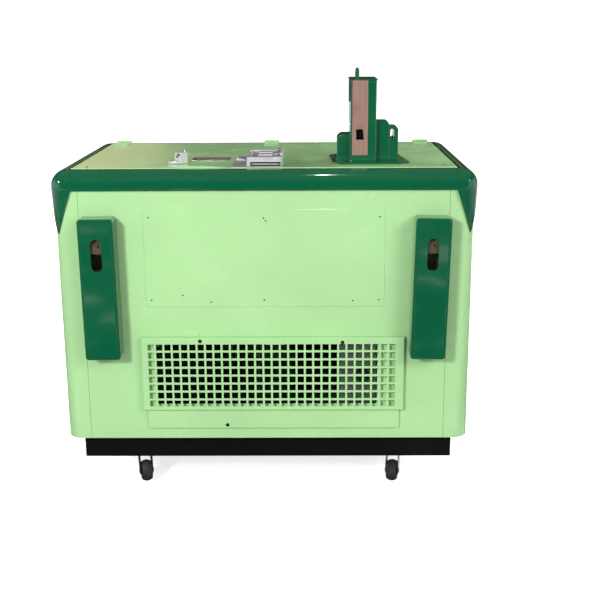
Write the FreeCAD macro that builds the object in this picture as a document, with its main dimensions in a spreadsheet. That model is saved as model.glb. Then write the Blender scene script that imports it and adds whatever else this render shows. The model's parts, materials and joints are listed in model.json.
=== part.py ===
"""Chest-type bottled-drink vending machine (coin-operated slider cooler).

Millimetres, +Z up, front towards -Y, +X to the right when facing the front. The sizes below are
measured from the floor under the middle of the cabinet; part() then moves every piece along Y by
frame_shift_y. Driving sizes sit in the Params sheet and the objects are bound to its cells.
"""
import FreeCAD, Part
import Sketcher
import math
import os
from FreeCAD import Vector, Placement, Rotation

doc = FreeCAD.newDocument("SliderVendor")
sheet = doc.addObject("Spreadsheet::Sheet", "Params")
aliases = []
parts = []
COS45 = math.sqrt(0.5)


class Size:
    """A number together with the sheet formula that drives it, if it has one."""

    def __init__(self, value, formula=None):
        self.value = float(value)
        self.formula = formula

    def text(self):
        if self.formula is not None:
            return self.formula
        return "%.6f" % self.value if self.value >= 0 else "(%.6f)" % self.value

    def _join(self, other, sign, value):
        if self.formula is None and other.formula is None:
            return Size(value)
        return Size(value, "(%s %s %s)" % (self.text(), sign, other.text()))

    def __add__(self, other):
        other = size(other)
        return self._join(other, "+", self.value + other.value)

    def __radd__(self, other):
        return size(other) + self

    def __sub__(self, other):
        other = size(other)
        return self._join(other, "-", self.value - other.value)

    def __mul__(self, other):
        other = size(other)
        return self._join(other, "*", self.value * other.value)

    def __truediv__(self, other):
        other = size(other)
        return self._join(other, "/", self.value / other.value)

    def __neg__(self):
        return Size(-self.value, None if self.formula is None else "(0 - %s)" % self.formula)


def size(x):
    return x if isinstance(x, Size) else Size(x)


def root_of(x):
    return Size(math.sqrt(x.value), "sqrt(%s)" % x.text())


def par(alias, value, note):
    """Write one driving size into the next row of the sheet."""
    aliases.append(alias)
    row = len(aliases)
    sheet.set("A%d" % row, alias)
    sheet.set("B%d" % row, "%g" % value)
    sheet.set("C%d" % row, note)
    sheet.setAlias("B%d" % row, alias)
    return Size(value, "Params." + alias)


# ---------------------------------------------------------------- driving sizes
trim_half_w = par("trim_half_width", 526, "half overall width over the top trim")
trim_half_d = par("trim_half_depth", 330, "half overall depth over the top trim")
trim_r = par("trim_radius", 42, "quarter-round radius of the top trim")
trim_wall = par("trim_wall", 2.5, "wall of the trim casting")
deck = par("deck_height", 850, "top of lid and trim above floor")
trim_bottom = par("trim_bottom", 802, "lower edge of the trim")
body_half_w = par("body_half_width", 519, "half width of the sheet-metal body")
body_half_d = par("body_half_depth", 323, "half depth of the sheet-metal body")
corner_r = par("corner_radius", 40, "plan radius of the body corners")
sheet_wall = par("sheet_wall", 1.5, "body sheet thickness")
body_bottom = par("body_bottom", 155, "lower edge of the body panels")
panel_top = par("panel_top", 822, "upper edge of the body panels, under the trim")
seam = par("seam_position", 455, "seam between front and side panels")
fold = par("seam_fold", 16, "depth of the folds along the seams")
cap_seam = par("cap_seam_position", 470, "seam between trim and corner cap")
gap = par("fit_gap", 0.3, "assembly gap between neighbouring sheets")
tip_x = par("cap_tip_position", 514.5, "where the corner cap runs out to a tip")
tip_z = par("cap_tip_height", 676, "height of that tip")
plinth_half_w = par("plinth_half_width", 480, "half width of the black plinth")
plinth_half_d = par("plinth_half_depth", 293, "half depth of the black plinth")
plinth_bottom = par("plinth_bottom", 91.2, "underside of the plinth")
plinth_top = par("plinth_top", 155.8, "top of the plinth")
emboss_half_w = par("emboss_half_width", 298, "half width of the raised field on the front panel")
emboss_bottom = par("emboss_bottom", 507, "lower edge of the raised field")
emboss_top = par("emboss_top", 754, "upper edge of the raised field")
emboss_h = par("emboss_height", 1.1, "how far the field stands out")
sign_pitch_x = par("sign_hole_pitch_x", 568, "sign mounting holes, spacing along X")
sign_pitch_z = par("sign_hole_pitch_z", 210, "sign mounting holes, spacing along Z")
sign_mid_z = par("sign_hole_centre", 630, "height of the middle of the sign holes")
sign_hole_r = par("sign_hole_radius", 1.9, "radius of a sign hole")
vent_half_w = par("vent_cut_half_width", 283, "half width of the opening behind the grille")
vent_bottom = par("vent_cut_bottom", 249, "lower edge of that opening")
vent_top = par("vent_cut_top", 410, "upper edge of that opening")
grille_left = par("grille_left", -314, "left edge of the grille box")
grille_right = par("grille_right", 350, "right edge of the grille box")
grille_bottom = par("grille_bottom", 236, "lower edge of the perforated box")
grille_top = par("grille_top", 430, "upper edge of the perforated box")
grille_depth = par("grille_depth", 13, "how far the grille stands out")
hole_pitch_x = par("grille_pitch", 21, "pitch of the square holes, across")
hole_pitch_z = par("grille_pitch_z", 21.4, "pitch of the square holes, up")
hole_side = par("grille_hole", 16, "side of a square hole")
hole_columns = par("grille_columns", 30, "holes across")
hole_rows = par("grille_rows", 8, "holes down")
field_left = par("grille_field_left", -297.5, "left edge of the first column of holes")
field_bottom = par("grille_field_bottom", 247, "lower edge of the lowest row of holes")
skirt_bottom = par("skirt_bottom", 185, "lower edge of the grille skirt")
tank_half_w = par("tank_half_length", 440, "half length of the tank cavity")
tank_half_d = par("tank_half_width", 243, "half width of the tank cavity")
tank_floor = par("tank_floor", 482, "floor of the tank cavity")
rim_z = par("tank_rim", 822.3, "underside of the tank rim")
foam_bottom = par("insulation_bottom", 440, "underside of the tank insulation")
lid_half_w = par("lid_half_width", 477.5, "half width of the lid")
lid_front = par("lid_front", -286.5, "front edge of the lid")
lid_rear = par("lid_rear", 281.5, "rear edge of the lid")
lid_bottom = par("lid_edge_bottom", 829, "lower edge of the lid skirt")
lid_wall = par("lid_wall", 1.2, "lid sheet thickness")
hinge_y = par("hinge_axis_y", 285.0, "hinge axis, front to back")
hinge_z = par("hinge_axis_z", 854.0, "hinge axis height")
barrel_r = par("hinge_barrel_radius", 3.7, "hinge barrel radius")
hinge_pin_r = par("hinge_pin_radius", 1.9, "hinge pin radius")
hinge_w = par("hinge_width", 42, "hinge width")
hinge_x = par("hinge_spacing", 442, "outer hinges, distance from the middle")
clearance = par("running_clearance", 0.05, "radial clearance of a pin in its barrel")
catcher_x = par("catcher_position", 408.7, "cap catchers, distance from the middle")
catcher_shift = par("catcher_shift", 2.2, "both catchers hang this far right of the middle")
catcher_w = par("catcher_width", 88.5, "cap catcher width")
catcher_depth = par("catcher_depth", 50, "cap catcher depth")
catcher_bottom = par("catcher_bottom", 382, "cap catcher lower end")
catcher_top = par("catcher_top", 739, "cap catcher upper end")
slot_w = par("opener_slot_width", 27, "bottle slot in the catcher")
slot_l = par("opener_slot_length", 79, "length of that slot")
slot_z = par("opener_slot_height", 650, "middle of that slot")
caster_x = par("caster_position_x", 337.9, "casters, distance from the middle")
caster_y = par("caster_position_y", 222, "casters, distance from the middle, front to back")
wheel_r = par("wheel_radius", 28.5, "caster wheel radius")
wheel_w = par("wheel_width", 27, "caster wheel width")
trail = par("caster_trail", 22, "caster trail")
tower_top = par("tower_top", 1059, "top of the coin tower")
tower_left = par("tower_left", 215, "left side of the coin column")
tower_right = par("tower_right", 280, "right side of the coin column")
tower_front = par("tower_front", -205, "front of the coin column")
tower_rear = par("tower_rear", -80, "rear of the coin column")
tower_wall = par("tower_wall", 3.5, "wall of the tower casting")
throat_half_w = par("throat_half_width", 34, "bottle throat, half width")
throat_front = par("throat_front", -222, "bottle throat, front")
throat_rear = par("throat_rear", -140, "bottle throat, rear")
par("frame_shift_y", 17.75, "moves the origin under the middle of the whole envelope")

# ---------------------------------------------------------------- positions several pieces share
front_face = -body_half_d
corner_x = body_half_w - corner_r       # centres of the body corners
corner_y = body_half_d - corner_r
cap_r = trim_half_w - corner_x          # plan radius of the trim at a corner
cap_run = corner_x - cap_seam           # straight run of a corner cap
joint_gap = 0.2                         # clearance at each end of a trim piece
side_run = corner_y - cap_run           # half length of a side trim
pan_bottom = plinth_top + 0.2
pan_top = pan_bottom + 2
drain_x, drain_y = -350, 120
coil_x = tank_half_w + 8.5              # evaporator tube, outside the tank walls
coil_y = tank_half_d + 8.5
coil_ends_x = (300, 270)
rod_y = -181                            # release rod and coin lever


# ---------------------------------------------------------------- helpers: primitives
def bind(obj, prop, amount):
    """Set a property to a size and tie it to the sheet."""
    amount = size(amount)
    setattr(obj, prop, amount.value)
    if amount.formula is not None:
        obj.setExpression(prop, amount.formula)


def place(obj, x=0, y=0, z=0, rot=None):
    x, y, z = size(x), size(y), size(z)
    obj.Placement = Placement(Vector(x.value, y.value, z.value), rot or Rotation())
    for axis, amount in (("x", x), ("y", y), ("z", z)):
        if amount.formula is not None:
            obj.setExpression(".Placement.Base." + axis, amount.formula)
    return obj


def box(x0, x1, y0, y1, z0, z1):
    obj = doc.addObject("Part::Box", "box")
    for prop, low, high in (("Length", x0, x1), ("Width", y0, y1), ("Height", z0, z1)):
        bind(obj, prop, size(high) - low)
    return place(obj, x0, y0, z0)


UP = Vector(0, 0, 1)
ALONG = {"x": Rotation(UP, Vector(1, 0, 0)), "y": Rotation(UP, Vector(0, 1, 0)), "z": Rotation()}


def along(axis):
    """Rotation that lays +Z along a named axis; a Rotation passes through."""
    return ALONG[axis] if isinstance(axis, str) else axis


def cyl(r, length, x, y, z, axis="z"):
    """Cylinder that starts at x, y, z and runs along +axis."""
    obj = doc.addObject("Part::Cylinder", "cyl")
    bind(obj, "Radius", r)
    bind(obj, "Height", length)
    return place(obj, x, y, z, along(axis))


def ball(r, x, y, z):
    obj = doc.addObject("Part::Sphere", "ball")
    bind(obj, "Radius", r)
    return place(obj, x, y, z)


# ---------------------------------------------------------------- helpers: combining
def group(*objs):
    obj = doc.addObject("Part::Compound", "group")
    obj.Links = list(objs)
    return obj


def fuse(*objs):
    obj = doc.addObject("Part::MultiFuse", "fuse")
    obj.Shapes = list(objs)
    obj.Refine = True
    return obj


def cut(base, *tools):
    obj = doc.addObject("Part::Cut", "cut")
    obj.Base = base
    obj.Tool = tools[0] if len(tools) == 1 else group(*tools)
    obj.Refine = True
    return obj


def common(base, tool):
    obj = doc.addObject("Part::Common", "common")
    obj.Base = base
    obj.Tool = tool
    return obj


def mirror(obj, axis):
    """Mirror image in the middle plane square to the x or y axis."""
    image = doc.addObject("Part::Mirroring", "mirror")
    image.Source = obj
    image.Base = Vector(0, 0, 0)
    image.Normal = Vector(1, 0, 0) if axis == "x" else Vector(0, 1, 0)
    return image


def both_sides(obj):
    return group(obj, mirror(obj, "x"))


def turned(obj, x, y, z, axis, angle):
    """obj turned about a line through x, y, z."""
    rot = Rotation(Vector(*axis), angle)
    centre = Vector(size(x).value, size(y).value, size(z).value)
    holder = group(obj)
    holder.Placement = Placement(centre - rot.multVec(centre), rot)
    return holder


def part(label, obj):
    """Label a finished piece, shift it into the output frame and list it for export."""
    obj.Label = label
    held = [formula for name, formula in obj.ExpressionEngine
            if name.lstrip(".") == "Placement.Base.y"]
    base = held[0] if held else "%.6f" % obj.Placement.Base.y
    obj.setExpression(".Placement.Base.y", "%s + Params.frame_shift_y" % base)
    parts.append((label, obj))


# ---------------------------------------------------------------- helpers: sketches
def constrain(sketch, kind, geometry, amount):
    amount = size(amount)
    index = sketch.addConstraint(Sketcher.Constraint(kind, *geometry, amount.value))
    if amount.formula is not None:
        sketch.setExpression("Constraints[%d]" % index, amount.formula)


def add_outline(sketch, outline):
    """Closed outline. A vertex is (u, v), or (u, v, mid_u, mid_v, radius) if an arc leaves it."""
    count = len(outline)
    at = [Vector(size(p[0]).value, size(p[1]).value, 0) for p in outline]
    edges = []
    for i, point in enumerate(outline):
        start, end = at[i], at[(i + 1) % count]
        if len(point) > 2:
            middle = Vector(size(point[2]).value, size(point[3]).value, 0)
            edge = Part.Arc(start, middle, end)
        else:
            edge = Part.LineSegment(start, end)
        edges.append(sketch.addGeometry(edge, False))

    def ends(i):
        """Sketcher's numbers for the start and end of edge i; an arc may be stored reversed."""
        to_first = sketch.getPoint(edges[i], 1).distanceToPoint(at[i])
        to_second = sketch.getPoint(edges[i], 2).distanceToPoint(at[i])
        return (1, 2) if to_first < to_second else (2, 1)

    for i in range(count):
        j = (i + 1) % count
        sketch.addConstraint(
            Sketcher.Constraint("Coincident", edges[i], ends(i)[1], edges[j], ends(j)[0]))
    for i, point in enumerate(outline):
        constrain(sketch, "DistanceX", (edges[i], ends(i)[0]), point[0])
        constrain(sketch, "DistanceY", (edges[i], ends(i)[0]), point[1])
        if len(point) > 2:
            constrain(sketch, "Radius", (edges[i],), point[4])


def add_circle(sketch, u, v, r):
    centre = Vector(size(u).value, size(v).value, 0)
    edge = sketch.addGeometry(Part.Circle(centre, UP, size(r).value), False)
    constrain(sketch, "DistanceX", (edge, 3), u)
    constrain(sketch, "DistanceY", (edge, 3), v)
    constrain(sketch, "Radius", (edge,), r)


def circle(u, v, r):
    """A tuple stands for a circle; outlines are lists."""
    return (u, v, r)


def rect(u0, u1, v0, v1):
    return [(u0, v0), (u1, v0), (u1, v1), (u0, v1)]


def rounded(u0, u1, v0, v1, r):
    """Rectangle with rounded corners."""
    u0, u1, v0, v1, r = [size(a) for a in (u0, u1, v0, v1, r)]
    k = 1 - COS45
    return [(u0 + r, v0), (u1 - r, v0, u1 - r * k, v0 + r * k, r), (u1, v0 + r),
            (u1, v1 - r, u1 - r * k, v1 - r * k, r), (u1 - r, v1),
            (u0 + r, v1, u0 + r * k, v1 - r * k, r), (u0, v1 - r),
            (u0, v0 + r, u0 + r * k, v0 + r * k, r)]


# world direction of each origin plane's normal, along its axis
NORMAL = {"XY_Plane": 1, "XZ_Plane": -1, "YZ_Plane": 1}


class Solid:
    """A PartDesign body: sketches on its own origin planes, then features."""

    def __init__(self):
        self.body = doc.addObject("PartDesign::Body", "solid")

    def sketch(self, plane, pos, outlines):
        origin_plane = [o for o in self.body.Origin.OriginFeatures if o.Role == plane][0]
        sketch = self.body.newObject("Sketcher::SketchObject", "sketch")
        sketch.AttachmentSupport = [(origin_plane, "")]
        sketch.MapMode = "FlatFace"
        pos = size(pos) * NORMAL[plane]
        sketch.AttachmentOffset = Placement(Vector(0, 0, pos.value), Rotation())
        if pos.formula is not None:
            sketch.setExpression(".AttachmentOffset.Base.z", pos.formula)
        for outline in outlines:
            if isinstance(outline, tuple):
                add_circle(sketch, *outline)
            else:
                add_outline(sketch, outline)
        sketch.Visibility = False
        return sketch

    def _extrude(self, kind, plane, pos, length, is_reversed, outlines):
        sketch = self.sketch(plane, pos, outlines)
        feature = self.body.newObject("PartDesign::" + kind, kind.lower())
        feature.Profile = sketch
        bind(feature, "Length", length)
        feature.Reversed = is_reversed
        feature.Refine = True
        self.last = feature
        return feature

    def pad(self, plane, pos, length, way, *outlines):
        """way is +1 or -1 along the world axis normal to the plane."""
        return self._extrude("Pad", plane, pos, length, way * NORMAL[plane] < 0, outlines)

    def pocket(self, plane, pos, length, way, *outlines):
        return self._extrude("Pocket", plane, pos, length, way * NORMAL[plane] > 0, outlines)

    def revolve(self, angle, outline):
        """Turn an XZ outline about Z."""
        sketch = self.sketch("XZ_Plane", 0, [outline])
        feature = self.body.newObject("PartDesign::Revolution", "turn")
        feature.Profile = sketch
        feature.ReferenceAxis = (sketch, ["V_Axis"])
        feature.Angle = angle
        self.last = feature

    def grid(self, feature, step_u, count_u, step_v, count_v):
        """Repeat a feature along the sketch's first and second axes."""
        multi = self.body.newObject("PartDesign::MultiTransform", "grid")
        multi.Originals = [feature]
        rows = []
        sketch = feature.Profile[0]
        for axis, step, count in (("H_Axis", size(step_u), size(count_u)),
                                  ("V_Axis", size(step_v), size(count_v))):
            if count.value < 2:
                continue
            row = doc.addObject("PartDesign::LinearPattern", "row")
            row.Direction = (sketch, [axis])
            bind(row, "Length", step * (count - 1))
            row.Occurrences = int(count.value)
            if count.formula is not None:
                row.setExpression("Occurrences", count.formula)
            rows.append(row)
        multi.Transformations = rows
        multi.Refine = True
        self.body.Tip = multi
        self.last = multi

    def dress(self, kind, amount, axis, level):
        """Fillet or Chamfer every edge that lies flat at a level along X, Y or Z."""
        doc.recompute()

        def is_flat(edge):
            bounds = edge.BoundBox
            low, high = getattr(bounds, axis + "Min"), getattr(bounds, axis + "Max")
            return abs(low - level.value) < 0.01 and abs(high - level.value) < 0.01

        names = ["Edge%d" % (i + 1) for i, edge in enumerate(self.last.Shape.Edges)
                 if is_flat(edge)]
        feature = self.body.newObject("PartDesign::" + kind, "dress")
        feature.Base = (self.last, names)
        bind(feature, "Radius" if kind == "Fillet" else "Size", amount)
        self.last = feature
        self.body.Tip = feature


def prism(plane, pos, length, *outlines, way=1):
    """Straight prism, as a body."""
    solid = Solid()
    solid.pad(plane, pos, length, way, *outlines)
    return solid.body


def lathe(angle, outline):
    """Solid turned about Z, as a body."""
    solid = Solid()
    solid.revolve(angle, outline)
    return solid.body


def swept(points, radius, bend):
    """Round tube or rod along a line through the points, with rounded bends."""
    points = [Vector(*[size(c).value for c in point]) for point in points]
    edges = []
    current = points[0]
    for before, corner, after in zip(points, points[1:], points[2:]):
        back = before - corner
        ahead = after - corner
        back.normalize()
        ahead.normalize()
        half_angle = back.getAngle(ahead) / 2.0
        tangent = bend / math.tan(half_angle)
        arc_start = corner + back * tangent
        arc_end = corner + ahead * tangent
        bisector = back + ahead
        bisector.normalize()
        centre = corner + bisector * (bend / math.sin(half_angle))
        if (arc_start - current).Length > 1e-6:
            edges.append(Part.makeLine(current, arc_start))
        edges.append(Part.Arc(arc_start, centre - bisector * bend, arc_end).toShape())
        current = arc_end
    edges.append(Part.makeLine(current, points[-1]))
    direction = points[1] - points[0]
    direction.normalize()
    profile = Part.Wire([Part.makeCircle(radius, points[0], direction)])
    obj = doc.addObject("Part::Feature", "tube")
    obj.Shape = Part.Wire(edges).makePipeShell([profile], True, False)
    return obj


def dome(x, y, z, r, h, axis="z", slot=False):
    """Round screw head that stands h above its seat."""
    solid = Solid()
    ball_r = (r * r + h * h) / (2.0 * h)
    centre_drop = ball_r - h
    angle = math.atan2(r, centre_drop) / 2.0
    mid_u, mid_v = ball_r * math.sin(angle), ball_r * math.cos(angle) - centre_drop
    solid.revolve(360, [(0, 0), (r, 0, mid_u, mid_v, ball_r), (0, h)])
    if slot:
        solid.pocket("XY_Plane", h, h * 0.4, -1, rect(-r * 1.2, r * 1.2, -0.45, 0.45))
    return place(solid.body, x, y, z, along(axis))


# ---------------------------------------------------------------- base
def base_plinth():
    """Channel ring with a bearer across it over each pair of casters."""
    wall, channel_w, bearer_half, lip_h = 2, 25, 48, 30

    def slab(inset, z0, z1):
        return box(-plinth_half_w + inset, plinth_half_w - inset,
                   -plinth_half_d + inset, plinth_half_d - inset, z0, z1)

    rail = cut(slab(0, plinth_bottom, plinth_top),
               slab(wall, plinth_bottom + wall, plinth_top - wall),
               slab(channel_w, plinth_bottom - 1, plinth_top + 1))
    bearers = []
    for side in (-1, 1):
        x = caster_x * side
        for x0, x1, height in ((-bearer_half, bearer_half, wall),
                               (-bearer_half, -bearer_half + wall, lip_h),
                               (bearer_half - wall, bearer_half, lip_h)):
            bearers.append(box(x + x0, x + x1, -plinth_half_d + 1, plinth_half_d - 1,
                               plinth_bottom, plinth_bottom + height))
    return fuse(rail, *bearers)


def base_pan():
    inset_x, inset_y = 2, 16.5
    return prism("XY_Plane", pan_bottom, pan_top - pan_bottom,
                 rounded(-body_half_w + inset_x, body_half_w - inset_x,
                         -body_half_d + inset_y, body_half_d - inset_y, 25),
                 circle(drain_x, drain_y, 10))


# ---------------------------------------------------------------- cabinet panels
GRILLE_SCREWS = [(-165, 421.3), (194, 417.3), (-101, 193.4)]    # x, z
SMALL_HOLES = [(-1, 733), (4.5, 726), (-205, 537),              # x, z, in the raised field
               (-135, 520), (-1.4, 525.5), (219.4, 523)]


def folded_panel(inward):
    """Flat panel folded inwards at its sides and top; inward is +1 at the front, -1 at the rear."""
    face = body_half_d * -inward
    edge = seam - gap
    fold_bottom = 160
    inner, inner_top = edge - sheet_wall, panel_top - sheet_wall
    panel = Solid()
    panel.pad("XZ_Plane", face, sheet_wall, inward, rect(-edge, edge, body_bottom, panel_top))
    panel.pad("XZ_Plane", face + sheet_wall * inward, fold - sheet_wall, inward,
              [(-edge, fold_bottom), (-inner, fold_bottom), (-inner, inner_top),
               (inner, inner_top), (inner, fold_bottom), (edge, fold_bottom),
               (edge, panel_top), (-edge, panel_top)])
    return panel


def front_panel():
    panel = folded_panel(1)
    panel.pad("XZ_Plane", front_face, emboss_h, -1,
              rounded(-emboss_half_w, emboss_half_w, emboss_bottom, emboss_top, 8))
    panel.dress("Chamfer", 0.9, "Y", front_face - emboss_h)
    holes = [circle(sign_pitch_x * sx / 2, sign_mid_z + sign_pitch_z * sz / 2, sign_hole_r)
             for sx in (-1, 1) for sz in (-1, 1)]
    holes += [circle(x, z, sign_hole_r) for x, z in SMALL_HOLES]
    panel.pocket("XZ_Plane", front_face - 3, 8, 1, *holes)
    # grille screws that fall inside the opening need no hole of their own
    screw_holes = [circle(x, z, 2.3) for x, z in GRILLE_SCREWS
                   if not (vent_bottom.value < z < vent_top.value)]
    panel.pocket("XZ_Plane", front_face - 3, 8, 1,
                 rounded(-vent_half_w, vent_half_w, vent_bottom, vent_top, 5),
                 circle(-169, 434, 1.5), *screw_holes)
    return panel.body


def right_side_panel():
    """Side, both rounded corners, and the folds along the front and rear seams."""
    edge = seam + gap
    fold_x = edge + sheet_wall
    outer_y, inner_y = body_half_d, body_half_d - sheet_wall
    inner_x, inner_r = body_half_w - sheet_wall, corner_r - sheet_wall
    outer_45, inner_45 = corner_r * COS45, inner_r * COS45
    return prism("XY_Plane", body_bottom, panel_top - body_bottom, [
        (edge, -outer_y),
        (corner_x, -outer_y, corner_x + outer_45, -corner_y - outer_45, corner_r),
        (body_half_w, -corner_y),
        (body_half_w, corner_y, corner_x + outer_45, corner_y + outer_45, corner_r),
        (corner_x, outer_y), (edge, outer_y), (edge, outer_y - fold),
        (fold_x, outer_y - fold), (fold_x, inner_y),
        (corner_x, inner_y, corner_x + inner_45, corner_y + inner_45, inner_r),
        (inner_x, corner_y),
        (inner_x, -corner_y, corner_x + inner_45, -corner_y - inner_45, inner_r),
        (corner_x, -inner_y), (fold_x, -inner_y),
        (fold_x, -outer_y + fold), (edge, -outer_y + fold)])


def left_side_panel():
    return mirror(right_side_panel(), "x")


def rear_panel():
    """Folded panel with a cord hole and a field of slots."""
    panel = folded_panel(-1)
    outside = body_half_d + 3
    panel.pocket("XZ_Plane", outside, 8, -1, circle(-380, 200, 7))
    slot = panel.pocket("XZ_Plane", outside, 8, -1, rounded(-285, -225, 205, 212, 3))
    panel.grid(slot, 85, 7, 17, 13)
    return panel.body


# ---------------------------------------------------------------- top trim
LIP = 6.7               # width of the inward lip along the trim's lower edge
INNER_LEG = 24          # height of the trim's inner leg


def trim_section(edge, turn):
    """Quarter-round sheet section; edge is its outer face, turn +1 when it runs inwards along +."""
    centre_z = deck - trim_r
    inner_r = trim_r - trim_wall

    def inward(distance):
        return edge + size(distance) * turn

    inner_rise = root_of(inner_r * inner_r - trim_wall * trim_wall)
    return [(inward(0), trim_bottom),
            (inward(0), centre_z,
             inward(trim_r - trim_r * COS45), centre_z + trim_r * COS45, trim_r),
            (inward(trim_r), deck), (inward(trim_r), deck - INNER_LEG),
            (inward(trim_r - trim_wall), deck - INNER_LEG),
            (inward(trim_r - trim_wall), centre_z + inner_rise,
             inward(trim_r - inner_r * COS45), centre_z + inner_r * COS45, inner_r),
            (inward(trim_wall), centre_z), (inward(trim_wall), trim_bottom + trim_wall),
            (inward(LIP), trim_bottom + trim_wall), (inward(LIP), trim_bottom)]


def fang_section(edge, turn):
    """Wedge below the trim that thins towards the cap's tip."""
    root_z = trim_bottom + 1
    inner = edge + LIP * turn
    return [(inner, root_z), (edge, root_z), (edge + 5.2 * turn, tip_z), (inner, tip_z)]


def front_trim():
    return prism("YZ_Plane", -cap_seam + joint_gap, (cap_seam - joint_gap) * 2,
                 trim_section(-trim_half_d, 1))


def rear_trim():
    return mirror(front_trim(), "y")


def side_trims():
    return both_sides(prism("XZ_Plane", -side_run + joint_gap, (side_run - joint_gap) * 2,
                            trim_section(trim_half_w, -1)))


def round_corner(section):
    """A section led round the front right corner: the turn, then the front and side runs."""
    turn = place(lathe(90, section(cap_r, -1)), corner_x, -corner_y, 0, Rotation(UP, -90))
    length = cap_run - joint_gap
    front = prism("YZ_Plane", cap_seam + joint_gap, length, section(-trim_half_d, 1))
    side = prism("XZ_Plane", -corner_y, length, section(trim_half_w, -1))
    return turn, front, side


def corner_cap():
    """Front right cap: trim round the corner and a fang, tapered to its tip in both views."""
    trim = round_corner(trim_section)
    root_z = trim_bottom + 2
    front_view = prism("XZ_Plane", -420, 320, [(cap_seam + joint_gap, root_z), (560, root_z),
                                               (560, tip_z), (tip_x, tip_z)])
    side_view = prism("YZ_Plane", 400, 200,
                      [(-side_run - joint_gap, root_z), (-400, root_z), (-400, tip_z),
                       (-(tip_x - corner_x) - corner_y, tip_z)])
    fang = common(common(fuse(*round_corner(fang_section)), front_view), side_view)
    return fuse(*trim, fang)


def front_corner_caps():
    return both_sides(corner_cap())


def rear_corner_caps():
    return both_sides(mirror(corner_cap(), "y"))


# ---------------------------------------------------------------- vent grille
grille_back = front_face - gap
SKIRT_DEPTH = 6


def vent_grille():
    """Perforated box with a shallow skirt below it, both open at the back."""
    wall, skirt_inset, skirt_wall = 1.6, 10, 1.5
    face = grille_back - grille_depth
    skirt_hollow = skirt_inset + skirt_wall
    grille = Solid()
    grille.pad("XZ_Plane", grille_back, grille_depth, -1,
               rect(grille_left, grille_right, grille_bottom, grille_top))
    grille.dress("Fillet", 2.4, "Y", face)
    grille.pad("XZ_Plane", grille_back, SKIRT_DEPTH, -1,
               rect(grille_left + skirt_inset, grille_right - skirt_inset,
                    skirt_bottom, grille_bottom + 0.8))
    grille.pocket("XZ_Plane", grille_back, grille_depth - wall, -1,
                  rect(grille_left + wall, grille_right - wall,
                       grille_bottom + wall, grille_top - wall))
    grille.pocket("XZ_Plane", grille_back, SKIRT_DEPTH - skirt_wall, -1,
                  rect(grille_left + skirt_hollow, grille_right - skirt_hollow,
                       skirt_bottom + skirt_wall, grille_bottom - skirt_wall))
    grille.pocket("XZ_Plane", face - 1, grille_depth + 2, 1,
                  *[circle(x, z, 2.3) for x, z in GRILLE_SCREWS])
    hole = grille.pocket("XZ_Plane", face - 1, grille_depth, 1,
                         rect(field_left, field_left + hole_side,
                              field_bottom, field_bottom + hole_side))
    grille.grid(hole, hole_pitch_x, hole_columns, hole_pitch_z, hole_rows)
    return grille.body


def grille_screws():
    to_front = Rotation(UP, Vector(0, -1, 0))
    screws = []
    for x, z in GRILLE_SCREWS:
        depth = grille_depth if z > grille_bottom.value else SKIRT_DEPTH
        seat = grille_back - depth - 0.1
        screws.append(fuse(dome(x, seat, z, 4.9, 2.3, to_front, True),
                           cyl(1.9, 22, x, seat - 0.49, z, "y")))
    return group(*screws)


# ---------------------------------------------------------------- tank
def tank_liner():
    """Open tank with a flat rim and a drain hole."""
    outer_w, outer_d = tank_half_w + sheet_wall, tank_half_d + sheet_wall
    outer_r = 25
    rim_top = rim_z + sheet_wall
    tank = Solid()
    tank.pad("XY_Plane", tank_floor - sheet_wall, rim_top - tank_floor + sheet_wall, 1,
             rounded(-outer_w, outer_w, -outer_d, outer_d, outer_r))
    tank.pad("XY_Plane", rim_z, sheet_wall, 1, rounded(-496, 496, -300, 300, 20))
    tank.pocket("XY_Plane", rim_top, rim_top - tank_floor, -1,
                rounded(-tank_half_w, tank_half_w, -tank_half_d, tank_half_d, 23.5))
    tank.pocket("XY_Plane", tank_floor + 1, 5, -1, circle(drain_x, drain_y, 6.5))
    return tank.body


def tank_insulation():
    """Floor board, drilled for drain and coil ends, and four wall boards."""
    floor_t, half_w, half_d, board_half = 26, 500, 303, 22
    wall_bottom, wall_top = foam_bottom + floor_t + 0.3, 820
    boards = [prism("XY_Plane", foam_bottom, floor_t,
                    rounded(-half_w, half_w, -half_d, half_d, 15),
                    circle(drain_x, drain_y, 10), *[circle(x, coil_y, 7) for x in coil_ends_x])]
    for side in (-1, 1):
        x = (half_w - board_half) * side
        y = (half_d - board_half) * side
        boards.append(box(x - board_half, x + board_half, -half_d, half_d,
                          wall_bottom, wall_top))
        boards.append(box(-455.7, 455.7, y - board_half, y + board_half, wall_bottom, wall_top))
    return group(*boards)


def rail_bank(side):
    """One bank of neck rails: seven lanes closed at the outer end, hung from a bridge."""
    inner, outer = 50 * side, 436 * side
    rail_z, rail_t, bridge_top = 700, 3, 775

    def bar(x0, x1, y_mid, half_y, z0, z1):
        return box(*sorted((x0, x1)), y_mid - half_y, y_mid + half_y, z0, z1)

    bars = []
    for i in range(8):
        y = -210 + 60 * i
        bars.append(bar(inner, outer, y, 15, rail_z, rail_z + rail_t))
        bars.append(bar(inner, inner + 6 * side, y, 3, rail_z + 2, bridge_top))
    bars.append(bar(outer, outer - 12 * side, 0, 225, rail_z, rail_z + rail_t))
    bars.append(bar(inner, inner + 6 * side, 0, 240, bridge_top - rail_t, bridge_top))
    for y in (-200, 200):
        bars.append(bar(outer, outer - 3 * side, y, 20, rail_z + 2, 800))
    return fuse(*bars)


def bottle_rails():
    return group(rail_bank(-1), rail_bank(1))


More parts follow.
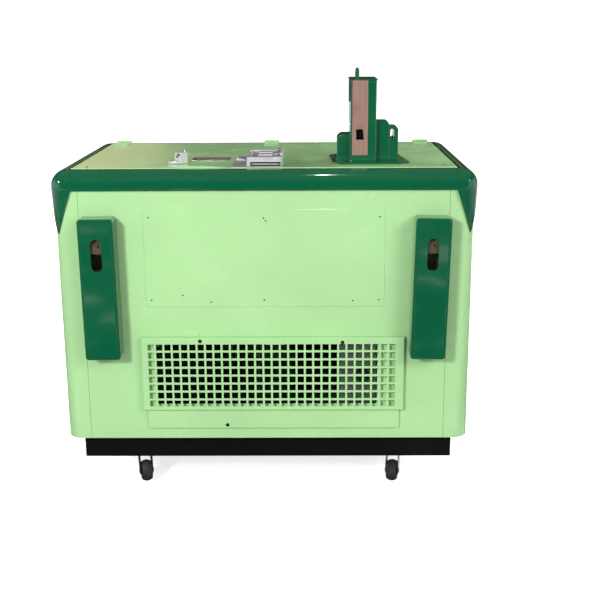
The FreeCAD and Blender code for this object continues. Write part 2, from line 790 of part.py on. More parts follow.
def evaporator_coil():
    """Five loops round the tank, joined by two risers at the rear."""
    tube_r, riser_bottom, riser_top = 4.5, 445, 750
    first_x, last_x = coil_ends_x
    coils = []
    for i in range(5):
        z = 510 + 60 * i
        coils.append(swept([(first_x, coil_y, z), (coil_x, coil_y, z), (coil_x, -coil_y, z),
                            (-coil_x, -coil_y, z), (-coil_x, coil_y, z), (last_x, coil_y, z)],
                           tube_r, 30))
    coils += [cyl(tube_r, riser_top - riser_bottom, x, coil_y, riser_bottom)
              for x in coil_ends_x]
    return fuse(*coils)


# ---------------------------------------------------------------- refrigeration unit
compressor_x, compressor_y = 150, 90
stub_left, stub_right = compressor_x - 40, compressor_x + 40
cond_left, cond_right, cond_y = -268, -24, -281
cond_first_z, cond_pitch, cond_tubes = 196, 30, 8
fan_x = (cond_left + cond_right) / 2
fan_y, fan_z = -239, 300
fan_shaft_r = 3

# (radius, height) of the hollow compressor shell with its flange and inner core
COMPRESSOR_OUTLINE = [
    (40, 14), (58, 14), (84, 26), (92, 44), (92, 112), (96, 112), (96, 119), (92, 119),
    (92, 182), (80, 206), (50, 219), (0, 223), (0, 218), (48, 214), (77, 202), (88, 180),
    (88, 46), (81, 30), (57, 18), (50, 18), (50, 150), (40, 150)]


def compressor():
    """Shell with a box on its right, two pipe stubs, four feet and a base ring."""
    x, y = compressor_x, compressor_y
    shell = place(lathe(360, COMPRESSOR_OUTLINE), x, y, pan_top)
    feet = []
    for angle in (45, 135, 225, 315):
        dx, dy = 95 * math.cos(math.radians(angle)), 95 * math.sin(math.radians(angle))
        feet.append(cyl(13, 16, x + dx, y + dy, pan_top + 0.2))
    feet.append(cut(cyl(100, 3, x, y, pan_top + 12), cyl(50, 5, x, y, pan_top + 11)))
    return fuse(shell, box(x + 65, x + 112, y - 28, y + 28, pan_top + 90, pan_top + 150),
                cyl(5, 20, stub_left, y, pan_top + 205), cyl(6, 20, stub_right, y, pan_top + 205),
                *feet)


def condenser():
    """Upright fins on a serpentine of straight tubes and return bends."""
    fins = Solid()
    fin = fins.pad("XZ_Plane", cond_y - 19, 38, 1, rect(cond_left, cond_left + 0.9, 182, 420))
    fins.grid(fin, 8, 31, 1, 1)
    tubes = []
    for i in range(cond_tubes):
        z = cond_first_z + cond_pitch * i
        tubes.append(cyl(4.8, cond_right - cond_left + 4, cond_left - 2, cond_y, z, "x"))
        if i < cond_tubes - 1:
            x, out = (cond_right + 1, 1) if i % 2 == 0 else (cond_left - 1, -1)
            far, upper = x + 15 * out, z + cond_pitch
            tubes.append(swept([(x - out, cond_y, z), (far, cond_y, z),
                                (far, cond_y, upper), (x - out, cond_y, upper)], 4.2, 13))
    return fuse(fins.body, *tubes)


def fan_shroud():
    """Plate with a round duct, on a box-shaped foot open at the rear."""
    back, wall, duct_r, foot_top = -260, 1.2, 106, 176
    left, right = cond_left - 4, cond_right + 4
    shroud = Solid()
    shroud.pad("XZ_Plane", back, wall, 1, rect(left, right, foot_top, 426),
               circle(fan_x, fan_z, duct_r))
    shroud.pad("XZ_Plane", back, 34, 1, circle(fan_x, fan_z, duct_r + wall),
               circle(fan_x, fan_z, duct_r))
    shroud.pad("XZ_Plane", back, 40, 1, rect(left, right, pan_top + 0.2, foot_top))
    shroud.pocket("XZ_Plane", back + wall, 45, 1,
                  rect(left - 8, right + 10, pan_top + 1.4, foot_top - 1))
    return shroud.body


def fan_blade():
    blades = []
    for i in range(4):
        leaf = box(fan_x + 14, fan_x + 100, fan_y - 1, fan_y + 0.6, fan_z - 26, fan_z + 26)
        pitched = turned(leaf, fan_x, fan_y, fan_z, (1, 0, 0), 28)
        blades.append(turned(pitched, fan_x, fan_y, fan_z, (0, 1, 0), 90 * i))
    rotor = fuse(cyl(18, 24, fan_x, -251, fan_z, "y"), *blades)
    return cut(rotor, cyl(fan_shaft_r + clearance, 40, fan_x, -260, fan_z, "y"))


def fan_motor():
    """Stepped motor can, shaft, upright strap and foot."""
    strap_front, foot_bottom = -205, pan_top + 0.2
    return fuse(cyl(42, 70, fan_x, -222, fan_z, "y"), cyl(30, 84, fan_x, -226, fan_z, "y"),
                cyl(fan_shaft_r, 30, fan_x, -250, fan_z, "y"),
                box(fan_x - 30, fan_x + 30, strap_front, strap_front + 3,
                    foot_bottom, fan_z - 20),
                box(fan_x - 45, fan_x + 45, strap_front, -170, foot_bottom, pan_top + 3.2))


def refrigerant_lines():
    """Compressor to condenser, compressor to coil, and coil to condenser."""
    stub_z, riser_z = pan_top + 226, 444
    first_x, last_x = coil_ends_x
    cond_end, cond_last_z = cond_left - 2.5, cond_first_z + cond_pitch * (cond_tubes - 1)
    left, top = -285, 432
    far_left, mid = -310, 430
    low = 415
    return group(
        swept([(stub_left, compressor_y, stub_z), (stub_left, compressor_y, top),
               (stub_left, -10, top), (left, -10, top), (left, cond_y, top),
               (left, cond_y, cond_last_z), (cond_end, cond_y, cond_last_z)], 3.2, 12),
        swept([(stub_right, compressor_y, stub_z), (stub_right, compressor_y, low),
               (first_x, compressor_y, low), (first_x, coil_y, low),
               (first_x, coil_y, riser_z)], 4.5, 14),
        swept([(last_x, coil_y, riser_z), (last_x, coil_y, mid), (far_left, coil_y, mid),
               (far_left, cond_y, mid), (far_left, cond_y, cond_first_z),
               (cond_end, cond_y, cond_first_z)], 3.2, 12))


knob_x, knob_z, spindle_r = 246, 318, 3


def electrical_box():
    """Hollow box with a spindle hole in front and a cable hole behind, on an angle foot."""
    case = cut(box(188, 282, -298, -236, 230, 400),
               box(189.5, 280.5, -296.5, -237.5, 231.5, 398.5),
               cyl(spindle_r + clearance, 10, knob_x, -300, knob_z, "y"),
               cyl(9, 10, 205, -240, 250, "y"))
    foot_z = pan_top + 0.2
    return fuse(case, box(196, 274, -236.5, -232, foot_z, 240),
                box(196, 274, -236.5, -190, foot_z, foot_z + 2))


def thermostat_knob():
    knob = fuse(cyl(15, 12, knob_x, -312, knob_z, "y"), cyl(19, 2.5, knob_x, -302.5, knob_z, "y"),
                cyl(spindle_r, 20, knob_x, -304, knob_z, "y"))
    return cut(knob, box(knob_x - 1.2, knob_x + 1.2, -313, -308, knob_z, knob_z + 16))


def drain_tube():
    bottom, top = 120, 480.2
    return cut(cyl(8, top - bottom, drain_x, drain_y, bottom),
               cyl(6, 380, drain_x, drain_y, bottom - 10))


def power_cord():
    """Cord out of the rear panel and down to a plug with two flat pins."""
    cord_x, cord_y, cord_z = -380, 331, 200
    return fuse(swept([(cord_x, 280, cord_z), (cord_x, cord_y, cord_z), (cord_x, cord_y, 92)],
                      3.6, 7),
                box(cord_x - 12, cord_x + 12, 325, 338, 58, 93),
                box(-387.5, -386, 330.7, 332.3, 40, 60),
                box(-374, -372.5, 330.7, 332.3, 40, 60))


# ---------------------------------------------------------------- cap catchers and openers
# side is +1 on the right and -1 on the left
CATCHER_TILT = {1: 1.2, -1: -0.5}       # degrees


def catcher_middle(side):
    return catcher_x * side + catcher_shift


def hung(obj, side):
    """Each catcher and its opener hang a little out of true about the middle of the slot."""
    return turned(obj, catcher_middle(side), 0, slot_z, (0, 1, 0), CATCHER_TILT[side])


def cap_catcher(side):
    """Rounded box open at the back, with a bottle slot and a cross bar inside."""
    x = catcher_middle(side)
    half_w = catcher_w / 2
    back = front_face - 0.5
    back_rim = 9

    def outline(inset, r):
        return rounded(x - half_w + inset, x + half_w - inset,
                       catcher_bottom + inset, catcher_top - inset, r)

    shell = Solid()
    shell.pad("XZ_Plane", back, catcher_depth, -1, outline(0, 9))
    shell.dress("Fillet", 8, "Y", back - catcher_depth)
    # a narrow hollow up to the front wall, then a wide one that stops short of the fillet
    shell.pocket("XZ_Plane", back, catcher_depth - sheet_wall, -1, outline(back_rim, 5))
    shell.pocket("XZ_Plane", back, catcher_depth - back_rim, -1, outline(sheet_wall, 7.5))
    shell.pocket("XZ_Plane", back - catcher_depth - 1, 12, 1,
                 rounded(x - slot_w / 2, x + slot_w / 2,
                         slot_z - slot_l / 2, slot_z + slot_l / 2, slot_w / 2 - 0.05))
    shell.pad("XZ_Plane", front_face - 3.2, 1.5, -1,
              rect(x - half_w + 1, x + half_w - 1, 705, 727))
    return hung(shell.body, side)


def opener(side):
    """Wall plate, hook behind the catcher's cross bar, and a horn hollowed from below."""
    x = catcher_middle(side)
    back = front_face - gap
    hook_front, hook_bottom = front_face - 8, 692
    plate = box(x - 24, x + 24, back - 2.5, back, 604, 700)
    hook = fuse(box(x - 18, x + 18, hook_front, back, hook_bottom, hook_bottom + 3),
                box(x - 18, x + 18, hook_front, hook_front + 2, hook_bottom, 721))
    horn = prism("YZ_Plane", x - 15, 30,
                 [(back - 1, 640), (back - 12, 640), (back - 34, 652), (back - 41, 652),
                  (back - 41, 660), (back - 36, 684), (back - 30, 688), (back - 1, 688)])
    return hung(cut(fuse(plate, hook, horn),
                    box(x - 11, x + 11, back - 32, back - 14, 630, 660),
                    cyl(2.4, 60, x + 4, back - 50, 671, "y")), side)


def bottle_openers():
    return group(opener(1), opener(-1))


# ---------------------------------------------------------------- casters
# name, side (+1 right), end (+1 rear), swivel angle in degrees
CASTERS = [("front_left", -1, -1, -72), ("front_right", 1, -1, -104),
           ("rear_left", -1, 1, 76), ("rear_right", 1, 1, 97)]
kingpin_r, axle_r = 6, 3.5
leg_offset = wheel_w / 2 + 1.5          # inner face of a fork leg
leg_t = 2.4
fork_top = plinth_bottom - 6.3

# (x, z) of a fork leg, seen from the side
FORK_LEG = [(-17, fork_top), (21, fork_top), (32.5, 31), (30.5, 22), (22, 18), (13.5, 22)]

# (radius, distance from the middle plane) of the wheel, without its bore
WHEEL_OUTLINE = [
    (8.5, -14.7), (8.5, -9), (18, -8), (19, -12), (23.5, -13.5, 28.5, 0, 20.725),
    (23.5, 13.5), (19, 12), (18, 8), (8.5, 9), (8.5, 14.7)]


def caster_plate(side, end):
    """Bolted plate with its boss and kingpin."""
    x, y = caster_x * side, caster_y * end
    bolts = [dome(x + 32 * i, y + 25 * j, plinth_bottom - 3.3, 6, 3.5,
                  Rotation(Vector(1, 0, 0), 180)) for i in (-1, 1) for j in (-1, 1)]
    return fuse(box(x - 44, x + 44, y - 36, y + 36, plinth_bottom - 3.4, plinth_bottom - 0.2),
                cyl(22, 3, x, y, plinth_bottom - 6),
                cyl(kingpin_r, 12, x, y, plinth_bottom - 17.4),
                cyl(9.5, 3.2, x, y, plinth_bottom - 18), *bolts)


def caster_plates():
    return group(*[caster_plate(side, end) for _, side, end, _ in CASTERS])


def caster_fork(side, end, swivel):
    """Crown, bridge, axle with its heads, and two legs; built about the kingpin, then swivelled."""
    legs = [prism("XZ_Plane", leg_offset * j, leg_t, FORK_LEG, way=j) for j in (1, -1)]

    def kingpin_hole():
        return cyl(kingpin_r + clearance, 20, 0, 0, plinth_bottom - 21.4)

    crown = cut(cyl(22, 7.9, 0, 0, plinth_bottom - 14.2), kingpin_hole())
    half_axle = wheel_w / 2 + 5.5
    axle = fuse(cyl(axle_r, wheel_w + 11, trail, -half_axle, wheel_r, "y"),
                cyl(5.5, 2.2, trail, wheel_w / 2 + 3.5, wheel_r, "y"),
                cyl(5.5, 2.2, trail, -(wheel_w / 2 + 5.7), wheel_r, "y"))
    half_bridge = leg_offset + leg_t
    bridge = cut(box(-17, 21, -half_bridge, half_bridge, plinth_bottom - 10.4, fork_top),
                 kingpin_hole())
    fork = group(fuse(crown, bridge, axle, *legs))
    return place(fork, caster_x * side, caster_y * end, 0, Rotation(UP, swivel))


def caster_wheel(side, end, swivel):
    bore_r = axle_r + clearance
    half_hub = 14.7
    wheel = lathe(360, [(bore_r, -half_hub)] + WHEEL_OUTLINE + [(bore_r, half_hub)])
    turn = Rotation(UP, swivel)
    kingpin = Vector((caster_x * side).value, (caster_y * end).value, wheel_r.value)
    wheel.Placement = Placement(turn.multVec(Vector(trail.value, 0, 0)) + kingpin,
                                turn.multiply(Rotation(Vector(1, 0, 0), 90)))
    return wheel


# ---------------------------------------------------------------- lid hinges
HINGES = [hinge_x * side for side in (-1, 0, 1)]
half_knuckle = 6.8
strap_notch = 7.2                       # half width of the strap's notch round the knuckle


def hinge_bore(x):
    return cyl(hinge_pin_r + clearance, 60, x - 30, hinge_y, hinge_z, "x")


def cabinet_leaf(x):
    """Middle knuckle on an upright leaf with a foot on the tank rim."""
    foot_z = rim_z + 1.8
    front, back = hinge_y - 0.8, hinge_y + 0.8
    return cut(fuse(cyl(barrel_r, half_knuckle * 2, x - half_knuckle, hinge_y, hinge_z, "x"),
                    box(x - half_knuckle, x + half_knuckle, front, back, foot_z, hinge_z - 1),
                    box(x - 20, x + 20, front, back, foot_z, deck - 4),
                    box(x - 20, x + 20, front, 299, foot_z, rim_z + 3.4)), hinge_bore(x))


def lid_strap(x):
    """Strap on the lid with the two outer knuckles and three screw heads."""
    half = hinge_w / 2
    strap = Solid()
    strap.pad("XY_Plane", deck + 0.15, 1.8, 1, rounded(x - half, x + half, 213, hinge_y + 1, 7))
    strap.pocket("XY_Plane", deck + 3, 4, -1,
                 rect(x - strap_notch, x + strap_notch, hinge_y - 4.2, hinge_y + 5))
    length = half - strap_notch
    screws = [dome(x + dx, y, deck + 1.9, 4, 1.6) for dx, y in ((-11, 228), (11, 228), (0, 258))]
    return cut(fuse(strap.body, cyl(barrel_r, length, x - half, hinge_y, hinge_z, "x"),
                    cyl(barrel_r, length, x + strap_notch, hinge_y, hinge_z, "x"), *screws),
               hinge_bore(x))


def cabinet_hinge_leaves():
    return group(*[cabinet_leaf(x) for x in HINGES])


def lid_hinge_leaves():
    return group(*[lid_strap(x) for x in HINGES])


def hinge_pins():
    return group(*[cyl(hinge_pin_r, hinge_w + 2.4, x - hinge_w / 2 - 1.2, hinge_y, hinge_z, "x")
                   for x in HINGES])


# ---------------------------------------------------------------- lid
cup_left, cup_right, cup_front, cup_rear = -196, -95, -132, -62
hole_half_w = throat_half_w + 2.3       # throat hole through the lid
hole_front = throat_front - 2.3
hole_rear = throat_rear + 2.3
liner_bottom, liner_top = 802, 828.6


def cup_outline(inset):
    return rounded(cup_left + inset, cup_right - inset, cup_front + inset, cup_rear - inset,
                   6 - inset)


def throat_outline():
    return rect(-hole_half_w, hole_half_w, hole_front, hole_rear)


def lid_skin():
    """Pressed top with a front bead, a bowed pull edge, and holes for throat, lever and cup."""
    skin = Solid()
    skin.pad("XY_Plane", lid_bottom, deck - lid_bottom, 1,
             rounded(-lid_half_w, lid_half_w, lid_front, lid_rear, 4))
    skin.dress("Fillet", 2.5, "Z", deck)
    skin.pad("YZ_Plane", -lid_half_w + 3, (lid_half_w - 3) * 2, 1,
             [(lid_front, deck - 2.8), (lid_front + 3, deck - 2.8),
              (lid_front + 3, deck + 1.1, lid_front + 1.5, deck + 1.905, 1.8),
              (lid_front, deck + 1.1)])
    skin.pad("XZ_Plane", lid_front, 17, 1,
             [(-234, deck - 3), (-87, deck - 3), (-87, deck + 1, -160.5, deck + 6, 542.7),
              (-234, deck + 1)])
    skin.pocket("XY_Plane", lid_bottom, deck - lid_bottom - lid_wall, 1,
                rounded(-lid_half_w + lid_wall, lid_half_w - lid_wall,
                        lid_front + lid_wall, lid_rear - lid_wall, 2.8))
    skin.pocket("XY_Plane", deck + 1, 4, -1, throat_outline(),
                rect(226, 272, rod_y - 7, rod_y + 7), cup_outline(0))
    return skin.body


def lid_liner():
    """Flat flange with a tray hanging into the tank."""
    wall, half_w, half_d, plan_r = 1.2, 425, 228, 20
    liner = Solid()
    liner.pad("XY_Plane", liner_top - wall, wall, 1,
              rounded(-lid_half_w + 3, lid_half_w - 3, lid_front + 3, lid_rear - 3, 4))
    liner.pad("XY_Plane", liner_bottom, 26, 1,
              rounded(-half_w, half_w, -half_d, half_d, plan_r))
    liner.pocket("XY_Plane", liner_top, liner_top - liner_bottom - wall, -1,
                 rounded(-half_w + wall, half_w - wall, -half_d + wall, half_d - wall,
                         plan_r - wall))
    liner.pocket("XY_Plane", liner_bottom + 2, 4, -1, throat_outline())
    return liner.body


def lid_insulation():
    """Upper batts laid round the throat, cup and release rod, lower ones in the liner tray."""
    hole_w = hole_half_w
    edge_x, edge_front, edge_rear = lid_half_w - 4, lid_front + 4, lid_rear - 4
    beside, behind = hole_front + 0.2, hole_rear + 0.2
    # x from, x to, y from, y to
    upper = [(-edge_x, edge_x, edge_front, hole_front),
             (-edge_x, -hole_w, beside, hole_rear),
             (hole_w, edge_x, beside, rod_y - 11),
             (292, edge_x, rod_y - 10.8, rod_y + 11),
             (hole_w, edge_x, rod_y + 11.2, hole_rear),
             (-edge_x, cup_left - 1, behind, edge_rear),
             (cup_left - 0.8, cup_right + 0.8, cup_rear + 1, edge_rear),
             (cup_right + 1, edge_x, behind, edge_rear)]
    lower = [(-416, -hole_w, -221, 221),
             (hole_w, 416, -221, 221),
             (-hole_w + 0.2, hole_w - 0.2, hole_rear, 221)]
    return group(*[box(*batt, 829, 848.4) for batt in upper],
                 *[box(*batt, 804.5, 828.4) for batt in lower])


def lid_gasket():
    return prism("XY_Plane", 824.4, 2.8, rounded(-470, 470, -275, 272, 16),
                 rounded(-454, 454, -257, 257, 12))


def lid_pull_cup():
    cup = Solid()
    cup.pad("XY_Plane", 829.6, 20.6, 1, cup_outline(0.3))
    cup.pocket("XY_Plane", 851, 20.4, -1, cup_outline(1.3))
    return cup.body


# ---------------------------------------------------------------- lock
lock_x, lock_y, lock_z = -212, -188, 870.5
plug_r = 5.5


def at_lock(z, *objs):
    """Stand objects built about the origin at the lock, turned to its angle."""
    return place(group(*objs), lock_x, lock_y, z, Rotation(UP, -40))


def lock_housing():
    """Round foot and square block, with a plug bore and a slanting recess in the face."""
    bottom = deck + 0.15
    foot_h, block_h = 8, 29
    foot = Solid()
    foot.pad("XY_Plane", bottom, foot_h, 1, circle(-227.5, -187.5, 20.5))
    foot.dress("Fillet", 3.5, "Z", bottom + foot_h)
    block = Solid()
    block.pad("XY_Plane", bottom, block_h, 1, rect(-11, 11, -15, 9))
    block.dress("Fillet", 2.5, "Z", bottom + block_h)
    recess = prism("XZ_Plane", -20, 13.5, rounded(-8, 8, -4.6, 4.6, 4.5))
    hollow = at_lock(lock_z, cyl(plug_r + clearance, 13, 0, -7, 0, "y"),
                     turned(recess, 0, 0, 0, (0, 1, 0), -32))
    return cut(fuse(foot.body, at_lock(0, block.body), cyl(1.7, 11, -205.5, -182.5, 874)),
               hollow)


def lock_cylinder():
    return at_lock(lock_z, cut(cyl(plug_r, 12, 0, -6.4, 0, "y"),
                               box(-0.8, 0.8, -8, -1, -3.6, 3.6)))


# ---------------------------------------------------------------- bottle gate
gate_half_w, gate_front, gate_rear = 43, -270, -85
gate_z = deck + 0.15
gate_pin_x, gate_pin_z, gate_pin_r = 31.5, 870.0, 2
KNUCKLES = [(-244, -206), (-152, -114)]     # y from, y to, of the flap's hinge knuckles


def throat_box(grow, z0, z1):
    return box(-throat_half_w - grow, throat_half_w + grow,
               throat_front - grow, throat_rear + grow, z0, z1)


def gate_housing():
    """Frame round the throat, with a sleeve down through the lid, a hinge cheek and a left wing."""
    side, front, rear = gate_half_w, gate_front, gate_rear
    floor_top = gate_z + 2.2
    floor = cut(box(-side, side, front, rear, gate_z, floor_top),
                throat_box(0, gate_z - 1, gate_z + 4))
    sleeve = cut(throat_box(2, 806, gate_z + 1), throat_box(0, 800, gate_z + 4))
    wing = box(-79, -42, -283.2, -62, gate_z, gate_z + 2.6)
    bevel = prism("XZ_Plane", -156, 52, [(-79, gate_z + 1), (-46, gate_z + 1), (-46, gate_z + 3),
                                         (-73, gate_z + 9.5)])
    notches = [box(20, 37.6, y0 - 2, y1 + 2, 862, 900) for y0, y1 in KNUCKLES]
    cheek = cut(fuse(box(26.5, side, front, rear, gate_z, 876),
                     box(38, side, front + 40, rear, gate_z, 881)),
                *notches,
                box(20, 41, front - 1, rear - 4, floor_top, 862.8),
                box(20, throat_half_w, throat_front, throat_rear, 840, 862))
    bar = box(-41, 42, front + 6, front + 9, 855, 859)
    front_wall = cut(box(-side, side, front, front + 4, gate_z, 875),
                     box(-34, 41, front - 1, front + 5, 851.6, 862.8))
    left_wall = box(-side, -side + 3, front, rear, gate_z, 866)
    rear_wall = box(-side, side, rear - 3, rear, gate_z, 872)
    pin_hole = cyl(gate_pin_r + clearance, 174, gate_pin_x, -264, gate_pin_z, "y")
    return cut(fuse(floor, sleeve, wing, bevel, cheek, bar, front_wall, left_wall, rear_wall),
               pin_hole)


def gate_pin():
    return cyl(gate_pin_r, 173, gate_pin_x, -263.5, gate_pin_z, "y")


def gate_flap():
    """Flap with three raised pads, a left rib and two hinge knuckles."""
    left, right, bottom = -39.4, 24.6, 863
    front, rear = gate_front + 5, gate_rear - 4
    pieces = [box(left, right, front, rear, bottom, bottom + 3)]
    for y in (-246, -192, -138):
        pieces.append(box(-18, 18, y, y + 26, 865, 872.5))
    pieces.append(box(left, -36, front, rear, 865, 869))
    for y0, y1 in KNUCKLES:
        pieces += [cyl(5, y1 - y0, gate_pin_x, y0, gate_pin_z, "y"),
                   box(20, gate_pin_x, y0, y1, 865.5, 869.5),
                   box(20, right, y0, y1, bottom, 869.5)]
    return cut(fuse(*pieces), cyl(gate_pin_r + clearance, 200, gate_pin_x, -280, gate_pin_z, "y"))


# ---------------------------------------------------------------- coin tower
tower_z = deck + 0.2
lever_x, lever_z, pivot_r = 248, 866, 2.5


def lobe(x0, x1, y0, y1, top, r, right):
    """Block beside the column, rounded at its upper right or upper left edge."""
    k = r * (1 - COS45)
    if right:
        outline = [(x0, tower_z), (x1, tower_z), (x1, top - r, x1 - k, top - k, r),
                   (x1 - r, top), (x0, top)]
    else:
        outline = [(x0, tower_z), (x1, tower_z), (x1, top),
                   (x0 + r, top, x0 + k, top - k, r), (x0, top - r)]
    return prism("XZ_Plane", y0, y1 - y0, outline)


def coin_tower_housing():
    """Hollow column on a flange with two ears; one lobe on its left, two on its right."""
    column = prism("XY_Plane", tower_z, tower_top - tower_z,
                   rounded(tower_left, tower_right, tower_front, tower_rear, 3))
    cavity = box(tower_left + tower_wall, tower_right - tower_wall,
                 tower_front + tower_wall, tower_rear - tower_wall, deck - 2, tower_top - 4)
    flange = prism("XY_Plane", tower_z, 5, rounded(180, 348, -220, -30, 8))
    left_ear = prism("XY_Plane", tower_z, 4, [(184, -206), (184, -34), (168, -38), (165, -60),
                                              (169.5, -200), (172, -206)])
    right_ear = prism("XY_Plane", tower_z, 4, [(344, -208), (363, -208), (366, -202), (351, -40),
                                               (344, -36)])
    lobes = [lobe(182, 217, -188, -122, 922, 16, False),
             lobe(278, 314, -186, -120, 953.5, 9, True),
             lobe(312, 337.5, -182, -116, 940, 9, True)]
    # x from, x to, y from, y to, top
    hollows = [box(x0, x1, y0, y1, deck - 1, top) for x0, x1, y0, y1, top in (
        (186, 214, -184, -126, 900), (281, 310, -182, -124, 930), (313, 333.5, -178, -120, 898))]
    lug_hole = prism("XZ_Plane", -200, 130, rounded(317.5, 327, 909, 934, 4.7))
    cap_plate = box(213.5, 282.5, tower_front - 1.5, tower_rear + 1, tower_top - 2.5, tower_top)
    housing = fuse(column, flange, left_ear, right_ear, *lobes, cap_plate)
    window = box(229, 250, tower_front - 10, tower_front + 8, 909.5, 936.5)
    drawer_mouth = box(221.8, 273.2, tower_rear - 10, tower_rear + 10, 856.2, 906.2)
    pivot = cyl(pivot_r, 34, lever_x, tower_front + 1, lever_z, "y")
    return fuse(cut(housing, cavity, window, drawer_mouth, lug_hole, *hollows), pivot)


def coin_tower_plate():
    """Front plate with a window."""
    return prism("XZ_Plane", tower_front - 0.15, 1.5, rounded(219.5, 259, 871, 1056, 2),
                 [(229.5, 910), (249, 910), (246.3, 936), (229.5, 936)], way=-1)


def tower_staple():
    foot, top = tower_top + 0.2, tower_top + 22
    front_x, front_y, rear_x, rear_y = 231.5, -140, 237.5, -112
    return swept([(front_x, front_y, foot), (front_x, front_y, top),
                  (rear_x, rear_y, top), (rear_x, rear_y, foot)], 2.8, 9)


def coin_chute():
    """Upright rectangular tube with a window in front."""
    return cut(box(228, 252, -199, -187, 912, 1052), box(229, 251, -198, -188, 900, 1060),
               box(229.5, 250, -202, -195, 909, 935))


def coin_lever():
    """Hub with a ball-ended rod below, an arm and pad above, and a block to the left."""
    x, y = lever_x, rod_y
    lever = fuse(cyl(6, 14, x, y - 7, lever_z, "y"), cyl(1.6, 28, x, y, 838),
                 ball(2.6, x, y, 838.5), box(x - 1.5, x + 1.5, y - 4, y + 4, 868, 896),
                 box(x - 7, x + 7, y - 5, y + 5, 884, 897),
                 box(x - 26, x - 5, y - 5, y + 5, 859, 873))
    return cut(lever, cyl(pivot_r + clearance, 40, x, y - 20, lever_z, "y"))


def release_rod():
    """Rod across the lid with a block at each end."""
    return fuse(cyl(3, 172, 68, rod_y, 838, "x"), box(239, 245.2, rod_y - 6, rod_y + 6, 833, 841),
                box(56, 70, rod_y - 5, rod_y + 5, 834, 842))


def cash_box():
    """Drawer open at the top, with a round pull at the rear."""
    drawer = cut(box(222.4, 272.6, -150, tower_rear + 0.5, 857, 905.5),
                 box(223.6, 271.4, -148.8, tower_rear - 1.2, 858.2, 910))
    return fuse(drawer, cyl(3, 3, 247.5, tower_rear, 882, "y"),
                cyl(7, 3, 247.5, tower_rear + 2.5, 882, "y"))


def lid_screws():
    """Two screws at the lid's front corners and one on each tower ear."""
    lid_seat, ear_seat = deck + 0.1, tower_z + 4.1
    # x, y, seat, head radius, head height
    screws = [(-442, -252, lid_seat, 3.6, 2), (448, -250, lid_seat, 3.6, 2),
              (173.5, -108, ear_seat, 3.8, 2.2), (352.4, -160, ear_seat, 3.6, 2.2)]
    return group(*[dome(*screw, slot=True) for screw in screws])


# ---------------------------------------------------------------- build
# each function here makes the piece of the same name
for make in (base_plinth, base_pan, front_panel, right_side_panel, left_side_panel, rear_panel,
             front_trim, rear_trim, side_trims, front_corner_caps, rear_corner_caps,
             vent_grille, grille_screws, tank_liner, tank_insulation, bottle_rails,
             evaporator_coil, compressor, condenser, fan_shroud, fan_blade, fan_motor,
             refrigerant_lines, electrical_box, thermostat_knob, drain_tube, power_cord,
             bottle_openers, caster_plates, cabinet_hinge_leaves, lid_hinge_leaves,
             hinge_pins, lid_skin, lid_liner, lid_insulation, lid_gasket, lid_pull_cup,
             lock_housing, lock_cylinder, gate_housing, gate_pin, gate_flap,
             coin_tower_housing, coin_tower_plate, tower_staple, coin_chute, coin_lever,
             release_rod, cash_box, lid_screws):
    part(make.__name__, make())
part("cap_catcher_right", cap_catcher(1))
part("cap_catcher_left", cap_catcher(-1))
for name, side, end, swivel in CASTERS:
    part("caster_fork_" + name, caster_fork(side, end, swivel))
    part("caster_wheel_" + name, caster_wheel(side, end, swivel))

# ---------------------------------------------------------------- check and export
doc.recompute()
bad = [obj.Name for obj in doc.Objects if "Invalid" in obj.State or "Error" in obj.State]
for label, obj in parts:
    shape = obj.Shape
    if shape.isNull() or not shape.isValid() or not shape.Solids:
        bad.append(label)
if bad:
    raise RuntimeError("failed: " + ", ".join(bad))
os.makedirs("parts", exist_ok=True)
for label, obj in parts:
    obj.Shape.exportStep("parts/%s.step" % label)
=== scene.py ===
"""A coin-operated cabinet: its CAD pieces are given materials, softened castings, louvre
hoods, screws and cables, and set on a pale studio floor.

Metres, +Z up. The front faces -Y, the rear panel faces +Y, and left is -X.
"""
import json
import math
import random

import bpy
import bmesh
from mathutils import Matrix, Vector


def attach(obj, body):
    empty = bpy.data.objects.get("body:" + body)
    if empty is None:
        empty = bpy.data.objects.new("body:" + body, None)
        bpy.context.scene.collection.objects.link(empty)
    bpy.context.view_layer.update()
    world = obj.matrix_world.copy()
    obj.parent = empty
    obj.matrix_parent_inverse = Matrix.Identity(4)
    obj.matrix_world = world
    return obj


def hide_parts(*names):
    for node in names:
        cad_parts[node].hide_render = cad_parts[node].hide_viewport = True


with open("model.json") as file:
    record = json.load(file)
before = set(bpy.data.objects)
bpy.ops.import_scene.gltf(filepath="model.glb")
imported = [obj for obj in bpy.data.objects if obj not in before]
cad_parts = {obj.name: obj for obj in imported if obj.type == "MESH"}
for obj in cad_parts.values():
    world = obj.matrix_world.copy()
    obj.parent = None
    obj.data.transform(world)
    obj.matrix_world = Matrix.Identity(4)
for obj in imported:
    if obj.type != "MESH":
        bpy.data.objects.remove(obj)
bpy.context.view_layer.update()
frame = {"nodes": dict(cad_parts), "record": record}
nodes = frame["nodes"]
scene = bpy.context.scene
random.seed(7)
materials = {}


